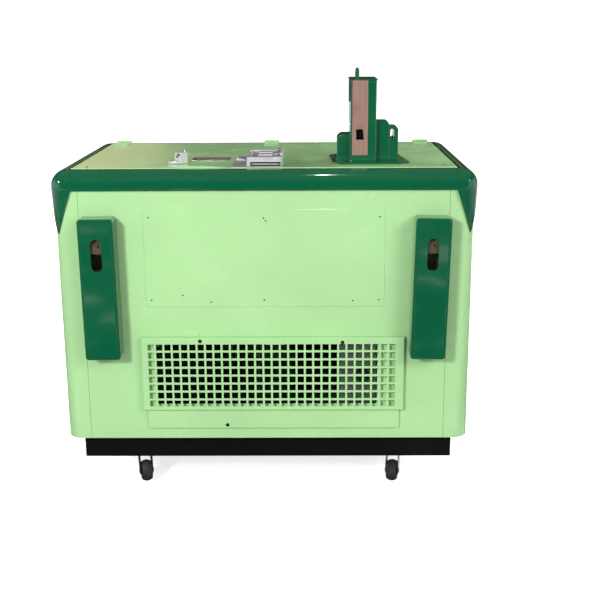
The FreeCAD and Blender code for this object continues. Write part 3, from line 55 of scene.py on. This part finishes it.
# ------------------------------------------------------------------ shader graphs
class Graph:
    """Short calls that add linked nodes to the node tree of a material or a world."""

    def __init__(self, owner, output, coord):
        owner.use_nodes = True
        self.tree = owner.node_tree
        self.tree.nodes.clear()
        self.output = self.node(output)
        self.coord = self.node("TexCoord").outputs[coord]

    def put(self, socket, value):
        """Link a socket, or set a plain value; colours gain their alpha."""
        if hasattr(value, "is_output"):
            self.tree.links.new(value, socket)
        elif isinstance(value, tuple) and len(value) == 3 and socket.type == "RGBA":
            socket.default_value = (*value, 1.0)
        else:
            socket.default_value = value

    def node(self, kind, inputs=None, **props):
        made = self.tree.nodes.new("ShaderNode" + kind)
        for key, value in props.items():
            setattr(made, key, value)
        for key, value in (inputs or {}).items():
            self.put(made.inputs[key], value)
        return made

    def finish(self, shader):
        self.put(self.output.inputs[0], shader)

    def noise(self, scale, detail=3.0, rough=0.5, vector=None, distortion=0.0):
        return self.node("TexNoise", {
            "Vector": vector or self.coord, "Scale": scale, "Detail": detail,
            "Roughness": rough, "Distortion": distortion}).outputs[0]

    def ramp(self, value, over, to=(0.0, 1.0)):
        """Smooth step that carries the range `over` to the range `to`."""
        limits = dict(enumerate((*over, *to), start=1))
        return self.node("MapRange", {0: value, **limits},
                         interpolation_type="SMOOTHSTEP").outputs[0]

    def math(self, operation, a, b=None):
        terms = {0: a} if b is None else {0: a, 1: b}
        return self.node("Math", terms, operation=operation).outputs[0]

    def times(self, a, b):
        return self.math("MULTIPLY", a, b)

    def plus(self, a, b):
        return self.math("ADD", a, b)

    def mix(self, amount, a, b):
        return self.node("Mix", {0: amount, 6: a, 7: b}, data_type="RGBA").outputs[2]

    def split(self, vector):
        return self.node("SeparateXYZ", {0: vector}).outputs


class Surface(Graph):
    """A Principled material, kept in `materials` under its name."""

    def __init__(self, name):
        materials[name] = bpy.data.materials.new(name)
        super().__init__(materials[name], "OutputMaterial", "Object")
        self.bsdf = self.node("BsdfPrincipled")
        self.finish(self.bsdf.outputs[0])

    def set(self, name, value):
        self.put(self.bsdf.inputs[name], value)

    def stretched(self, *scale):
        return self.node("Mapping", {"Vector": self.coord, "Scale": scale}).outputs[0]

    def streaks(self, across, lengthwise, axis):
        """Noise drawn out along one axis (0, 1, 2 for x, y, z)."""
        scale = [across] * 3
        scale[axis] = lengthwise
        return self.noise(scale=1.0, rough=0.6, vector=self.stretched(*scale))

    def bump(self, height, strength, distance, normal=None):
        made = self.node("Bump", {"Strength": strength, "Distance": distance, "Height": height})
        if normal is not None:
            self.put(made.inputs["Normal"], normal)
        return made.outputs[0]

    def rounded(self, radius):
        return self.node("Bevel", {"Radius": radius}, samples=4).outputs[0]

    def edge_mask(self, rounded):
        """1 on sharp outer and inner edges, 0 on flat faces."""
        normal = self.node("NewGeometry").outputs["Normal"]
        dot = self.node("VectorMath", {0: rounded, 1: normal}, operation="DOT_PRODUCT")
        return self.ramp(dot.outputs["Value"], over=(0.99, 0.80))

    def cavity(self, distance, samples=6):
        occlusion = self.node("AmbientOcclusion", {"Distance": distance}, samples=samples)
        return occlusion.outputs["AO"]

    def upward(self):
        """The z part of the surface normal."""
        return self.split(self.node("NewGeometry").outputs["Normal"])[2]


def tint(colour, gain):
    return tuple(min(1.0, channel * gain) for channel in colour)


# ------------------------------------------------------------------ kinds of material
def enamel(name, base, rough, coat, peel=0.06, wave=0.25, radius=0.0009, chips=0.0,
           chip_colour=None, dust=0.0, corner_shade=0.35, spec=0.5):
    """Sprayed enamel: orange peel, slow waves, specks, chipped edges, settled dust and painted
    shade in the corners.
    """
    mat = Surface(name)
    broad = mat.noise(scale=3.2, detail=2.0)
    fine = mat.noise(scale=60.0, detail=4.0, rough=0.6)
    colour = mat.mix(mat.ramp(broad, over=(0.3, 0.7)), tint(base, 0.955), tint(base, 1.03))
    colour = mat.mix(mat.ramp(fine, over=(0.35, 0.75), to=(0.0, 0.22)), colour, tint(base, 0.90))
    specks = mat.ramp(mat.noise(scale=520.0, detail=2.0), over=(0.735, 0.78))
    colour = mat.mix(mat.times(specks, 0.35), colour, tint(base, 0.45))
    # painted shade: corners and creases found by ambient occlusion are darkened towards a deep
    # tint of the base
    corner_shade_mask = mat.ramp(mat.cavity(distance=0.012), over=(0.75, 0.15))
    colour = mat.mix(mat.times(corner_shade_mask, corner_shade), colour, tint(base, 0.30))
    normal = mat.rounded(radius)
    if chips > 0:
        worn = mat.ramp(mat.noise(scale=85.0, detail=5.0, rough=0.7),
                        over=(0.62 - chips * 0.1, 0.70))
        colour = mat.mix(mat.times(mat.edge_mask(normal), worn), colour, chip_colour)
    if dust > 0:
        patches = mat.ramp(mat.noise(scale=26.0, detail=5.0, rough=0.7),
                           over=(0.35, 0.75), to=(0.0, dust))
        settled = mat.times(mat.ramp(mat.upward(), over=(0.3, 1.0)), patches)
        colour = mat.mix(settled, colour, (0.45, 0.42, 0.36))
    mat.set("Base Color", colour)
    mat.set("Roughness", mat.ramp(mat.noise(scale=11.0, detail=5.0, rough=0.62),
                                  over=(0.25, 0.78), to=(rough * 0.72, rough * 1.45)))
    mat.set("Specular IOR Level", spec)
    mat.set("Coat Weight", coat)
    mat.set("Coat Roughness", 0.035)
    wavy = mat.bump(mat.noise(scale=5.5, detail=1.5, rough=0.4),
                    strength=wave, distance=0.004, normal=normal)
    mat.set("Normal", mat.bump(mat.noise(scale=750.0, detail=2.0),
                               strength=peel, distance=0.0003, normal=wavy))
    mat.set("Coat Normal", mat.bump(mat.noise(scale=420.0, detail=1.0),
                                    strength=peel * 0.6, distance=0.0003, normal=wavy))


def cast_metal(name, base, rough, metal, corner_shade=(0.045, 0.038, 0.045), pits=0.25, top_shade=1.0):
    """Sand casting: fine grain, dirt with painted shade in the corners; faces that look up are
    darkened as painted shade.
    """
    mat = Surface(name)
    # dirt with painted shade: ambient occlusion darkens the colour in the corners, and there
    # also lowers metallic and raises roughness
    dirt_and_shade = mat.ramp(mat.cavity(distance=0.010, samples=8), over=(0.9, 0.25))
    blotch = mat.ramp(mat.noise(scale=70.0, detail=6.0, rough=0.65), over=(0.3, 0.72))
    dirt_and_shade = mat.times(dirt_and_shade, mat.plus(mat.times(blotch, 0.7), 0.45))
    colour = mat.mix(blotch, tint(base, 0.82), tint(base, 1.06))
    # painted shade: faces that look up are darkened
    if top_shade < 1:
        colour = mat.mix(mat.ramp(mat.upward(), over=(0.75, 0.97)), colour, tint(base, top_shade))
    mat.set("Base Color", mat.mix(dirt_and_shade, colour, corner_shade))
    mat.set("Metallic", mat.math("SUBTRACT", metal, mat.times(dirt_and_shade, 0.5 * metal)))
    uneven = mat.ramp(mat.noise(scale=120.0, detail=5.0, rough=0.7),
                      over=(0.25, 0.8), to=(rough * 0.7, rough * 1.5))
    mat.set("Roughness", mat.plus(uneven, mat.times(dirt_and_shade, 0.25)))
    grain = mat.bump(mat.noise(scale=520.0, detail=5.0, rough=0.65),
                     strength=pits, distance=0.0006, normal=mat.rounded(0.0007))
    scratch = mat.noise(scale=900.0, detail=2.0, vector=mat.stretched(1.0, 0.05, 1.0))
    mat.set("Normal", mat.bump(scratch, strength=0.032, distance=0.0003, normal=grain))


def brushed(name, base, along, rough, metal=0.95, stain=0.35, stain_colour=(0.12, 0.06, 0.05)):
    """Metal brushed along one axis, with cloudy stains."""
    mat = Surface(name)
    grain = mat.streaks(across=900.0, lengthwise=9.0, axis=along)
    streak = mat.streaks(across=140.0, lengthwise=4.0, axis=along)
    cloud = mat.noise(scale=34.0, detail=4.0, rough=0.6)
    colour = mat.mix(mat.ramp(streak, over=(0.25, 0.75)), tint(base, 0.86), tint(base, 1.12))
    stained = mat.ramp(cloud, over=(0.5, 0.8), to=(0.0, stain))
    mat.set("Base Color", mat.mix(stained, colour, stain_colour))
    mat.set("Metallic", metal)
    mat.set("Roughness", mat.ramp(grain, over=(0.2, 0.8), to=(rough * 0.75, rough * 1.35)))
    mat.set("Anisotropic", 0.55)
    mat.set("Normal", mat.bump(grain, strength=0.16, distance=0.0002,
                               normal=mat.rounded(0.0006)))


def bright_metal(name, base, rough, haze=0.08, corner_shade=0.25, metal=1.0):
    """Plated or polished metal: hazy patches, fine scratches, corners blackened as dirt with
    painted shade.
    """
    mat = Surface(name)
    hazy = mat.ramp(mat.noise(scale=40.0, detail=5.0, rough=0.65),
                    over=(0.45, 0.8), to=(0.0, haze))
    # dirt with painted shade: ambient occlusion turns the corners near black and less metallic
    dirt_and_shade = mat.times(mat.ramp(mat.cavity(distance=0.006), over=(0.7, 0.1)), corner_shade)
    mat.set("Base Color", mat.mix(dirt_and_shade, base, (0.012, 0.011, 0.010)))
    mat.set("Metallic", mat.times(mat.math("SUBTRACT", 1.0, dirt_and_shade), metal))
    mat.set("Roughness", mat.plus(hazy, rough))
    lines = mat.noise(scale=1100.0, detail=2.0, rough=0.6,
                      vector=mat.stretched(1.0, 0.06, 0.9))
    mat.set("Normal", mat.bump(lines, strength=0.05, distance=0.0002,
                               normal=mat.rounded(0.0008)))


def rubber(name, base, rough, dust, scale=260.0):
    """Matt rubber or plastic with fine grain and patchy dust."""
    mat = Surface(name)
    grain = mat.noise(scale=scale, detail=5.0, rough=0.65)
    patches = mat.noise(scale=30.0, detail=5.0, rough=0.7)
    colour = mat.mix(mat.ramp(grain, over=(0.3, 0.75)), tint(base, 0.75), tint(base, 1.25))
    dusty = mat.ramp(patches, over=(0.42, 0.8), to=(0.0, dust))
    mat.set("Base Color", mat.mix(dusty, colour, (0.22, 0.20, 0.17)))
    mat.set("Roughness", mat.ramp(patches, over=(0.3, 0.8), to=(rough * 0.8, rough * 1.2)))
    mat.set("Normal", mat.bump(grain, strength=0.22, distance=0.0005,
                               normal=mat.rounded(0.001)))


def galvanised():
    """Zinc-dipped sheet with crystal flakes."""
    mat = Surface("galvanised")
    cells = mat.node("TexVoronoi", {"Vector": mat.coord, "Scale": 55.0}, feature="F1")
    flake = mat.node("SeparateColor", {0: cells.outputs["Color"]}).outputs[0]
    cloud = mat.noise(scale=7.0, detail=4.0, rough=0.6)
    colour = mat.mix(flake, (0.30, 0.31, 0.31), (0.52, 0.53, 0.52))
    stained = mat.ramp(cloud, over=(0.45, 0.8), to=(0.0, 0.35))
    mat.set("Base Color", mat.mix(stained, colour, (0.34, 0.31, 0.27)))
    mat.set("Metallic", 0.85)
    mat.set("Roughness", mat.plus(mat.times(flake, 0.16), 0.36))
    mat.set("Normal", mat.bump(mat.noise(scale=240.0, detail=4.0, rough=0.6),
                               strength=0.12, distance=0.0004, normal=mat.rounded(0.0008)))


def fibre_wool():
    """Matted brown fibre."""
    mat = Surface("fibre_wool")
    fibres = mat.noise(scale=180.0, detail=6.0, rough=0.7, distortion=1.5)
    patches = mat.noise(scale=21.6, rough=0.6)
    mat.set("Base Color", mat.mix(mat.ramp(fibres, over=(0.3, 0.7)),
                                  (0.16, 0.12, 0.065), (0.30, 0.24, 0.14)))
    mat.set("Roughness", mat.ramp(patches, over=(0.3, 0.7), to=(0.828, 0.954)))
    mat.set("Sheen Weight", 0.2)
    mat.set("Normal", mat.bump(fibres, strength=0.6, distance=0.002))


# ------------------------------------------------------------------ the materials
def make_materials():
    enamel("light_green_enamel", (0.470, 0.800, 0.375), rough=0.20, coat=0.45, wave=0.10,
           chips=0.05, chip_colour=(0.25, 0.42, 0.2), corner_shade=0.15)
    enamel("dark_green_enamel", (0.0009, 0.112, 0.045), rough=0.10, coat=0.8, wave=0.22,
           peel=0.05, radius=0.0012, chips=0.10, chip_colour=(0.03, 0.10, 0.06), corner_shade=0.30)
    enamel("black_plinth", (0.0055, 0.0058, 0.0058), rough=0.5, coat=0.0, wave=0.3, peel=0.2,
           chips=0.25, chip_colour=(0.04, 0.035, 0.03), dust=0.25, spec=0.3)
    galvanised()
    fibre_wool()
    brushed("rail_steel", (0.60, 0.61, 0.60), along=0, rough=0.28, stain=0.2,
            stain_colour=(0.2, 0.17, 0.13))
    brushed("copper_tube", (0.72, 0.36, 0.20), along=2, rough=0.3, stain=0.5,
            stain_colour=(0.16, 0.09, 0.05))
    enamel("black_enamel", (0.010, 0.010, 0.011), rough=0.3, coat=0.3, wave=0.2, peel=0.1,
           dust=0.35, spec=0.4)
    brushed("aluminium_fins", (0.13, 0.12, 0.11), along=1, rough=0.42, stain=0.55,
            stain_colour=(0.10, 0.075, 0.05))
    enamel("motor_grey", (0.06, 0.063, 0.066), rough=0.42, coat=0.1, wave=0.2, peel=0.25,
           dust=0.4)
    rubber("pale_hose", (0.26, 0.25, 0.23), rough=0.6, dust=0.3)
    rubber("cord_rubber", (0.02, 0.02, 0.02), rough=0.55, dust=0.2)
    rubber("seal_rubber", (0.025, 0.025, 0.025), rough=0.75, dust=0.1, scale=420.0)
    cast_metal("opener_casting", (0.20, 0.175, 0.10), rough=0.38, metal=0.5,
               corner_shade=(0.02, 0.015, 0.008))
    bright_metal("bright_zinc", (0.62, 0.61, 0.58), rough=0.22, haze=0.2)
    bright_metal("chrome", (0.74, 0.75, 0.76), rough=0.16, haze=0.15, corner_shade=1.0, metal=0.45)
    # the gate casting's upward faces get painted shade
    cast_metal("gate_casting", (0.80, 0.76, 0.82), rough=0.36, metal=0.28, pits=0.15, top_shade=0.42)
    # painted reflection: the plate's pinkish-brown colour stands for what its brushed metal
    # mirrors
    brushed("tower_plate", (0.40, 0.235, 0.195), along=2, rough=0.46, metal=0.15)
    rubber("knob_plastic", (0.015, 0.015, 0.015), rough=0.25, dust=0.1)
    bright_metal("caster_steel", (0.34, 0.34, 0.35), rough=0.30, haze=0.25, corner_shade=0.6)
    rubber("wheel_rubber", (0.035, 0.035, 0.035), rough=0.6, dust=0.35)
    enamel("dark_screw", (0.022, 0.026, 0.014), rough=0.4, coat=0.0, peel=0.2, radius=0.0004,
           spec=0.4)
    brushed("cup_metal", (0.26, 0.19, 0.145), along=0, rough=0.40, metal=0.3, stain=0.6)
    bright_metal("lock_core", (0.03, 0.03, 0.032), rough=0.3, metal=0.8)


def dress(name, material):
    piece = nodes[name]
    if not piece.material_slots:
        piece.data.materials.append(material)
    for slot in piece.material_slots:
        slot.material = material


def dress_nodes():
    """Every piece wears its recorded slot, but for two with a material of their own."""
    slots = {entry["node"]: entry["material_slot"] for entry in frame["record"]["subparts"]}
    for name in nodes:
        dress(name, materials[slots[name]])
    dress("lid_pull_cup", materials["cup_metal"])
    dress("lock_cylinder", materials["lock_core"])


# ------------------------------------------------------------------ adding pieces
def add_object(name, data):
    made = bpy.data.objects.new(name, data)
    scene.collection.objects.link(made)
    return made


def settle(piece, slot, body, stands_for=None):
    piece.data.shade_smooth()
    piece.data.materials.clear()
    piece.data.materials.append(materials[slot])
    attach(piece, body)
    if stands_for:
        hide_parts(stands_for)


def mesh_object(name, bm):
    mesh = bpy.data.meshes.new(name)
    bm.to_mesh(mesh)
    bm.free()
    return add_object(name, mesh)


# ------------------------------------------------------------------ rear panel
REAR_Y = 0.3406  # outer face of the rear panel

HOOD_COLUMNS, HOOD_COLUMN_PITCH = 7, 0.085  # centred on x = 0
HOOD_ROWS, HOOD_ROW_PITCH, FIRST_HOOD_Z = 13, 0.017, 0.2085
HOOD_HALF_WIDTH = 0.0325
HOOD_DEPTH = 0.0045
HOOD_TOP = 0.0062  # upper edge above the middle of the slot
HOOD_DROP = 0.0097  # from the upper edge to the open lip
HOOD_SHEET = 0.0007
HOOD_STEPS_ACROSS, HOOD_STEPS_DOWN = 14, 6

SCREW_RADIUS, SCREW_RISE = 0.0048, 0.0022
SCREW_SEGMENTS, SCREW_RINGS = 24, 5
SCREW_PLACES = [(x, z) for x in (-0.44, -0.22, 0.0, 0.22, 0.44) for z in (0.172, 0.79)]
SCREW_PLACES += [(x, z) for x in (-0.44, 0.44) for z in (0.33, 0.48, 0.64)]


def add_hood(bm, middle_x, middle_z):
    """One quarter-round hood that sinks into the panel at both ends."""
    columns = []
    for k in range(HOOD_STEPS_ACROSS + 1):
        u = -1 + 2 * k / HOOD_STEPS_ACROSS
        lift = (1 - abs(u) ** 6) ** 0.5 if abs(u) < 1 else 0.0
        drop = HOOD_DROP * (0.25 + 0.75 * lift)
        column = []
        for m in range(HOOD_STEPS_DOWN + 1):
            angle = math.pi / 2 * m / HOOD_STEPS_DOWN
            column.append(bm.verts.new((
                middle_x + u * HOOD_HALF_WIDTH,
                REAR_Y + HOOD_DEPTH * lift * math.sin(angle),
                middle_z + HOOD_TOP - drop * (1 - math.cos(angle)))))
        columns.append(column)
    for a, b in zip(columns, columns[1:]):
        for m in range(HOOD_STEPS_DOWN):
            bm.faces.new((a[m], b[m], b[m + 1], a[m + 1]))


def louvre_hoods():
    """Pressed hoods over the slots of the rear panel, open at the bottom."""
    bm = bmesh.new()
    for i in range(HOOD_COLUMNS):
        for j in range(HOOD_ROWS):
            add_hood(bm, HOOD_COLUMN_PITCH * (i - (HOOD_COLUMNS - 1) / 2),
                     FIRST_HOOD_Z + HOOD_ROW_PITCH * j)
    bmesh.ops.recalc_face_normals(bm, faces=bm.faces)
    bmesh.ops.solidify(bm, geom=bm.faces[:], thickness=-HOOD_SHEET)
    bm.normal_update()
    settle(mesh_object("louvre_hoods", bm), "light_green_enamel", "cabinet")


def add_pan_head(bm, place):
    """Slotted pan head facing +Y: a lathed dome with its slot pressed in."""
    facing = Vector((0, 1, 0)).to_track_quat("Z", "Y").to_matrix().to_4x4()
    turn = facing @ Matrix.Rotation(random.uniform(0, math.pi), 4, "Z")
    rings = []
    for level in range(SCREW_RINGS + 1):
        t = level / SCREW_RINGS
        radius = SCREW_RADIUS * math.cos(t * math.pi / 2 * 0.92)
        height = SCREW_RISE * math.sin(t * math.pi / 2)
        ring = []
        for k in range(SCREW_SEGMENTS):
            angle = 2 * math.pi * k / SCREW_SEGMENTS
            x, y = radius * math.cos(angle), radius * math.sin(angle)
            in_slot = abs(y) < SCREW_RADIUS * 0.16 and level > 1
            z = height - (SCREW_RISE * 0.45 if in_slot else 0.0)
            ring.append(bm.verts.new(place + turn @ Vector((x, y, z))))
        rings.append(ring)
    for a, b in zip(rings, rings[1:]):
        for k in range(SCREW_SEGMENTS):
            after = (k + 1) % SCREW_SEGMENTS
            bm.faces.new((a[k], a[after], b[after], b[k]))
    bm.faces.new(rings[-1])


def rear_screws():
    bm = bmesh.new()
    for x, z in SCREW_PLACES:
        add_pan_head(bm, Vector((x, REAR_Y, z)))
    bm.normal_update()
    settle(mesh_object("rear_screws", bm), "bright_zinc", "cabinet")


# ------------------------------------------------------------------ castings
# node, voxel size, smoothing passes, material slot, body
CASTINGS = (
    ("coin_tower_housing", 0.0012, 6, "dark_green_enamel", "lid"),
    ("gate_housing", 0.0009, 4, "gate_casting", "lid"),
    ("gate_flap", 0.0008, 4, "gate_casting", "gate_flap"),
    ("lock_housing", 0.0005, 5, "chrome", "lid"),
)
FLAP_PIN_X, FLAP_PIN_Z, FLAP_BORE_RADIUS = 0.0315, 0.8700, 0.0027


def casting(node, voxel, passes, slot, body):
    """The node's own solid with its corners softened, as a poured casting has them."""
    name = node + "_casting"
    mesh = nodes[node].data.copy()
    mesh.name = name
    piece = add_object(name, mesh)
    remesh = piece.modifiers.new("voxels", "REMESH")
    remesh.mode = "VOXEL"
    remesh.voxel_size = voxel
    remesh.use_smooth_shade = True
    soften = piece.modifiers.new("soften", "SMOOTH")
    soften.factor = 0.5
    soften.iterations = passes
    graph = bpy.context.evaluated_depsgraph_get()
    softened = bpy.data.meshes.new_from_object(piece.evaluated_get(graph))
    piece.modifiers.clear()
    piece.data = softened
    softened.name = name
    settle(piece, slot, body, stands_for=node)
    return piece


def open_bore(piece, x, z, radius):
    """Keep a running clearance in a softened casting round a pin that runs along y."""
    for vertex in piece.data.vertices:
        co = vertex.co
        distance = math.hypot(co.x - x, co.z - z)
        if 1e-6 < distance < radius:
            co.x = x + (co.x - x) * radius / distance
            co.z = z + (co.z - z) * radius / distance
    piece.data.update()


# ------------------------------------------------------------------ cables and cup rim
# control points x, y, z
COMPRESSOR_CABLE = (
    (0.236, -0.171, 0.27), (0.236, -0.12, 0.262), (0.232, -0.07, 0.18), (0.20, -0.03, 0.163),
    (0.17, 0.0, 0.18), (0.158, 0.012, 0.215), (0.156, 0.022, 0.232))
FAN_CABLE = (
    (0.19, -0.20, 0.21), (0.172, -0.20, 0.20), (0.15, -0.17, 0.163), (0.06, -0.12, 0.1625),
    (-0.03, -0.115, 0.1625), (-0.09, -0.13, 0.17), (-0.112, -0.145, 0.21),
    (-0.118, -0.15, 0.26))
CUP_RIM_Y = -0.11685
CUP_RIM = [(x, CUP_RIM_Y, z) for x, z in (
    (-0.193, 0.8507), (-0.180, 0.8508), (-0.145, 0.8508), (-0.110, 0.8508), (-0.097, 0.8507))]


def tube(name, points, radius, slot, body):
    """Smooth round cable or bead through the given control points."""
    curve = bpy.data.curves.new(name, "CURVE")
    curve.dimensions = "3D"
    curve.bevel_depth = radius
    curve.bevel_resolution = 3
    curve.use_fill_caps = True
    spline = curve.splines.new("NURBS")
    spline.points.add(len(points) - 1)
    for point, place in zip(spline.points, points):
        point.co = (*place, 1.0)
    spline.order_u = 4
    spline.use_endpoint_u = True
    spline.resolution_u = 10
    path = add_object(name + "_path", curve)
    graph = bpy.context.evaluated_depsgraph_get()
    mesh = bpy.data.meshes.new_from_object(path.evaluated_get(graph))
    bpy.data.objects.remove(path)
    mesh.name = name
    settle(add_object(name, mesh), slot, body)


# ------------------------------------------------------------------ world and floor
def make_world():
    world = bpy.data.worlds.new("studio")
    scene.world = world
    g = Graph(world, "OutputWorld", "Generated")
    x, y, z = g.split(g.coord)
    ray = g.node("LightPath").outputs

    # soft room light: brighter from the front, low from above
    front = g.ramp(y, over=(0.6, -0.8))
    diffuse = g.mix(front, (0.46, 0.46, 0.46), (0.56, 0.56, 0.56))
    diffuse = g.mix(g.ramp(z, over=(0.10, 0.95)), diffuse, (0.22, 0.22, 0.22))

    # what polished surfaces mirror: a dark room, paler overhead
    room = g.mix(g.ramp(z, over=(0.30, 0.9)), (0.035, 0.034, 0.026), (0.20, 0.20, 0.19))
    behind = g.ramp(y, over=(0.1, 0.5))
    low = g.times(g.ramp(z, over=(0.24, 0.15)), g.ramp(z, over=(0.06, 0.10)))
    # a streaky warm patch low behind, on the left
    streak = g.noise(scale=14.0, detail=2.0)
    warm = g.times(g.times(g.ramp(x, over=(-0.10, -0.165)), low), behind)
    warm = g.times(warm, g.times(g.ramp(x, over=(-0.30, -0.245)),
                                 g.ramp(streak, over=(0.30, 0.62), to=(0.45, 1.0))))
    room = g.mix(warm, room, (0.68, 0.52, 0.31))
    # a greenish one low behind, on the right
    green = g.times(g.times(g.ramp(x, over=(0.045, 0.12)), low), behind)
    room = g.mix(green, room, (0.12, 0.17, 0.10))
    # pale side walls
    sides = g.times(g.ramp(g.math("ABSOLUTE", x), over=(0.72, 0.93)),
                    g.ramp(z, over=(0.42, 0.20)))
    room = g.mix(sides, room, (0.75, 0.75, 0.72))

    colour = g.mix(ray["Is Glossy Ray"], diffuse, room)
    colour = g.mix(ray["Is Camera Ray"], colour, (1.0, 1.0, 1.0))
    g.finish(g.node("Background", {"Color": colour, "Strength": 1.0}).outputs[0])


def floor_material():
    """Pale to the camera, darker in bounced light, patchy in reflections."""
    material = bpy.data.materials.new("pale_floor")
    g = Graph(material, "OutputMaterial", "Object")
    ray = g.node("LightPath").outputs
    place = g.node("NewGeometry").outputs["Position"]
    x, y, _ = g.split(place)

    def shader(kind, *inputs):
        return g.node(kind, dict(enumerate(inputs))).outputs[0]

    distance = g.node("VectorMath", {0: place}, operation="LENGTH").outputs["Value"]
    glow = shader("Emission", g.ramp(distance, over=(0.9, 2.6), to=(0.74, 1.05)))
    seen = shader("AddShader", shader("BsdfDiffuse", (0.86, 0.86, 0.86)), glow)
    bounce = shader("BsdfDiffuse", (0.34, 0.34, 0.34))
    patches = g.ramp(g.noise(scale=3.1, detail=1.5), over=(0.54, 0.72), to=(0.035, 1.3))
    side = g.ramp(g.math("ABSOLUTE", x), over=(3.2, 4.6), to=(0.0, 0.5))
    rear = g.ramp(y, over=(1.1, 2.6), to=(0.0, 0.6))
    mirrored = shader("Emission", g.math("MAXIMUM", patches, g.math("MAXIMUM", side, rear)))
    unseen = shader("MixShader", ray["Is Glossy Ray"], bounce, mirrored)
    g.finish(shader("MixShader", ray["Is Camera Ray"], unseen, seen))
    return material


def make_floor():
    bm = bmesh.new()
    bmesh.ops.create_grid(bm, x_segments=8, y_segments=8, size=14.0)
    floor = mesh_object("floor", bm)
    floor.data.materials.append(floor_material())


# ------------------------------------------------------------------ lights and camera
# name, place, point aimed at, (width, height), watts
SOFT_LIGHTS = (  # light surfaces without being mirrored
    ("key", (-1.75, -3.5, 1.95), (0, -0.2, 0.62), (0.55, 0.55), 94),
    ("fill", (2.7, -2.7, 2.2), (0.2, -0.2, 0.6), (1.5, 1.2), 56),
    ("over_right", (1.05, 0.25, 2.2), (0.40, 0.0, 0.85), (0.3, 0.3), 5),
    ("back_left", (-3.0, 2.6, 2.2), (0, 0.2, 0.5), (1.6, 1.4), 105),
    ("back_right", (3.2, 2.2, 2.0), (0, 0.2, 0.5), (1.6, 1.4), 90),
)
MIRRORED_LIGHTS = (  # show only as highlights
    ("dash", (0.17, -0.62225, 2.62), (0.25, -0.2, 0.85), (0.05, 0.085), 1.8),
    ("left_box", (-2.6, -1.1, 1.9), (-0.5, -0.2, 0.85), (0.5, 0.10), 9),
    ("right_box", (2.6, -1.0, 1.9), (0.5, -0.2, 0.85), (0.10, 0.3), 3),
)
METAL_LIGHT = ("metal_box", (-0.9, -1.6, 2.3), (-0.05, -0.2, 0.86), (1.1, 0.5), 26)
LIT_BY_METAL_LIGHT = ("gate_housing", "gate_flap", "lock_housing", "lid_screws", "lid_skin",
                      "coin_tower_housing", "cup_rim")

CAMERA_PLACE = (0.11197, -2.77744, 1.18661)
CAMERA_PITCH, CAMERA_YAW, CAMERA_ROLL = 0.2616, -0.0099, -0.0056  # radians


def area_light(name, place, aim, size, watts, mirrored):
    lamp = bpy.data.lights.new(name, "AREA")
    lamp.shape = "RECTANGLE"
    lamp.size, lamp.size_y = size
    lamp.energy = watts
    light = add_object(name, lamp)
    light.location = place
    light.rotation_euler = (Vector(aim) - Vector(place)).to_track_quat("-Z", "Y").to_euler()
    light.visible_camera = False
    light.visible_diffuse = not mirrored
    light.visible_glossy = mirrored
    return light


def make_lights():
    for row in SOFT_LIGHTS:
        area_light(*row, mirrored=False)
    for row in MIRRORED_LIGHTS:
        area_light(*row, mirrored=True)
    metal = [piece for piece in scene.objects
             if piece.type == "MESH" and piece.name.split("_casting")[0] in LIT_BY_METAL_LIGHT]
    light = area_light(*METAL_LIGHT, mirrored=True)
    receivers = bpy.data.collections.new("metal_box_only")
    for piece in metal:
        receivers.objects.link(piece)
    light.light_linking.receiver_collection = receivers


def make_camera():
    lens = bpy.data.cameras.new("camera")
    lens.sensor_width = 36.0
    lens.lens = 61.387
    lens.clip_end = 60
    camera = add_object("camera", lens)
    cp, sp = math.cos(CAMERA_PITCH), math.sin(CAMERA_PITCH)
    cy, sy = math.cos(CAMERA_YAW), math.sin(CAMERA_YAW)
    cr, sr = math.cos(CAMERA_ROLL), math.sin(CAMERA_ROLL)
    # rows of `view` are the right, down and forward directions of the camera
    level = Matrix(((1, 0, 0), (0, 0, -1), (0, 1, 0)))
    yaw = Matrix(((cy, 0, -sy), (0, 1, 0), (sy, 0, cy)))
    pitch = Matrix(((1, 0, 0), (0, cp, -sp), (0, sp, cp)))
    roll = Matrix(((cr, -sr, 0), (sr, cr, 0), (0, 0, 1)))
    view = roll @ pitch @ yaw @ level
    turn = Matrix((view[0], -view[1], -view[2])).transposed()
    camera.matrix_world = Matrix.Translation(CAMERA_PLACE) @ turn.to_4x4()
    scene.camera = camera


# ------------------------------------------------------------------ build
make_materials()
dress_nodes()
cast = {row[0]: casting(*row) for row in CASTINGS}
open_bore(cast["gate_flap"], FLAP_PIN_X, FLAP_PIN_Z, FLAP_BORE_RADIUS)
louvre_hoods()
rear_screws()
tube("box_to_compressor", COMPRESSOR_CABLE, 0.0034, "cord_rubber", "cabinet")
tube("box_to_fan", FAN_CABLE, 0.0027, "cord_rubber", "cabinet")
tube("cup_rim", CUP_RIM, 0.0012, "bright_zinc", "lid")
make_world()
make_floor()
make_lights()
make_camera()
scene.view_settings.view_transform = "Standard"
scene.view_settings.look = "None"
scene.view_settings.exposure = 0.0
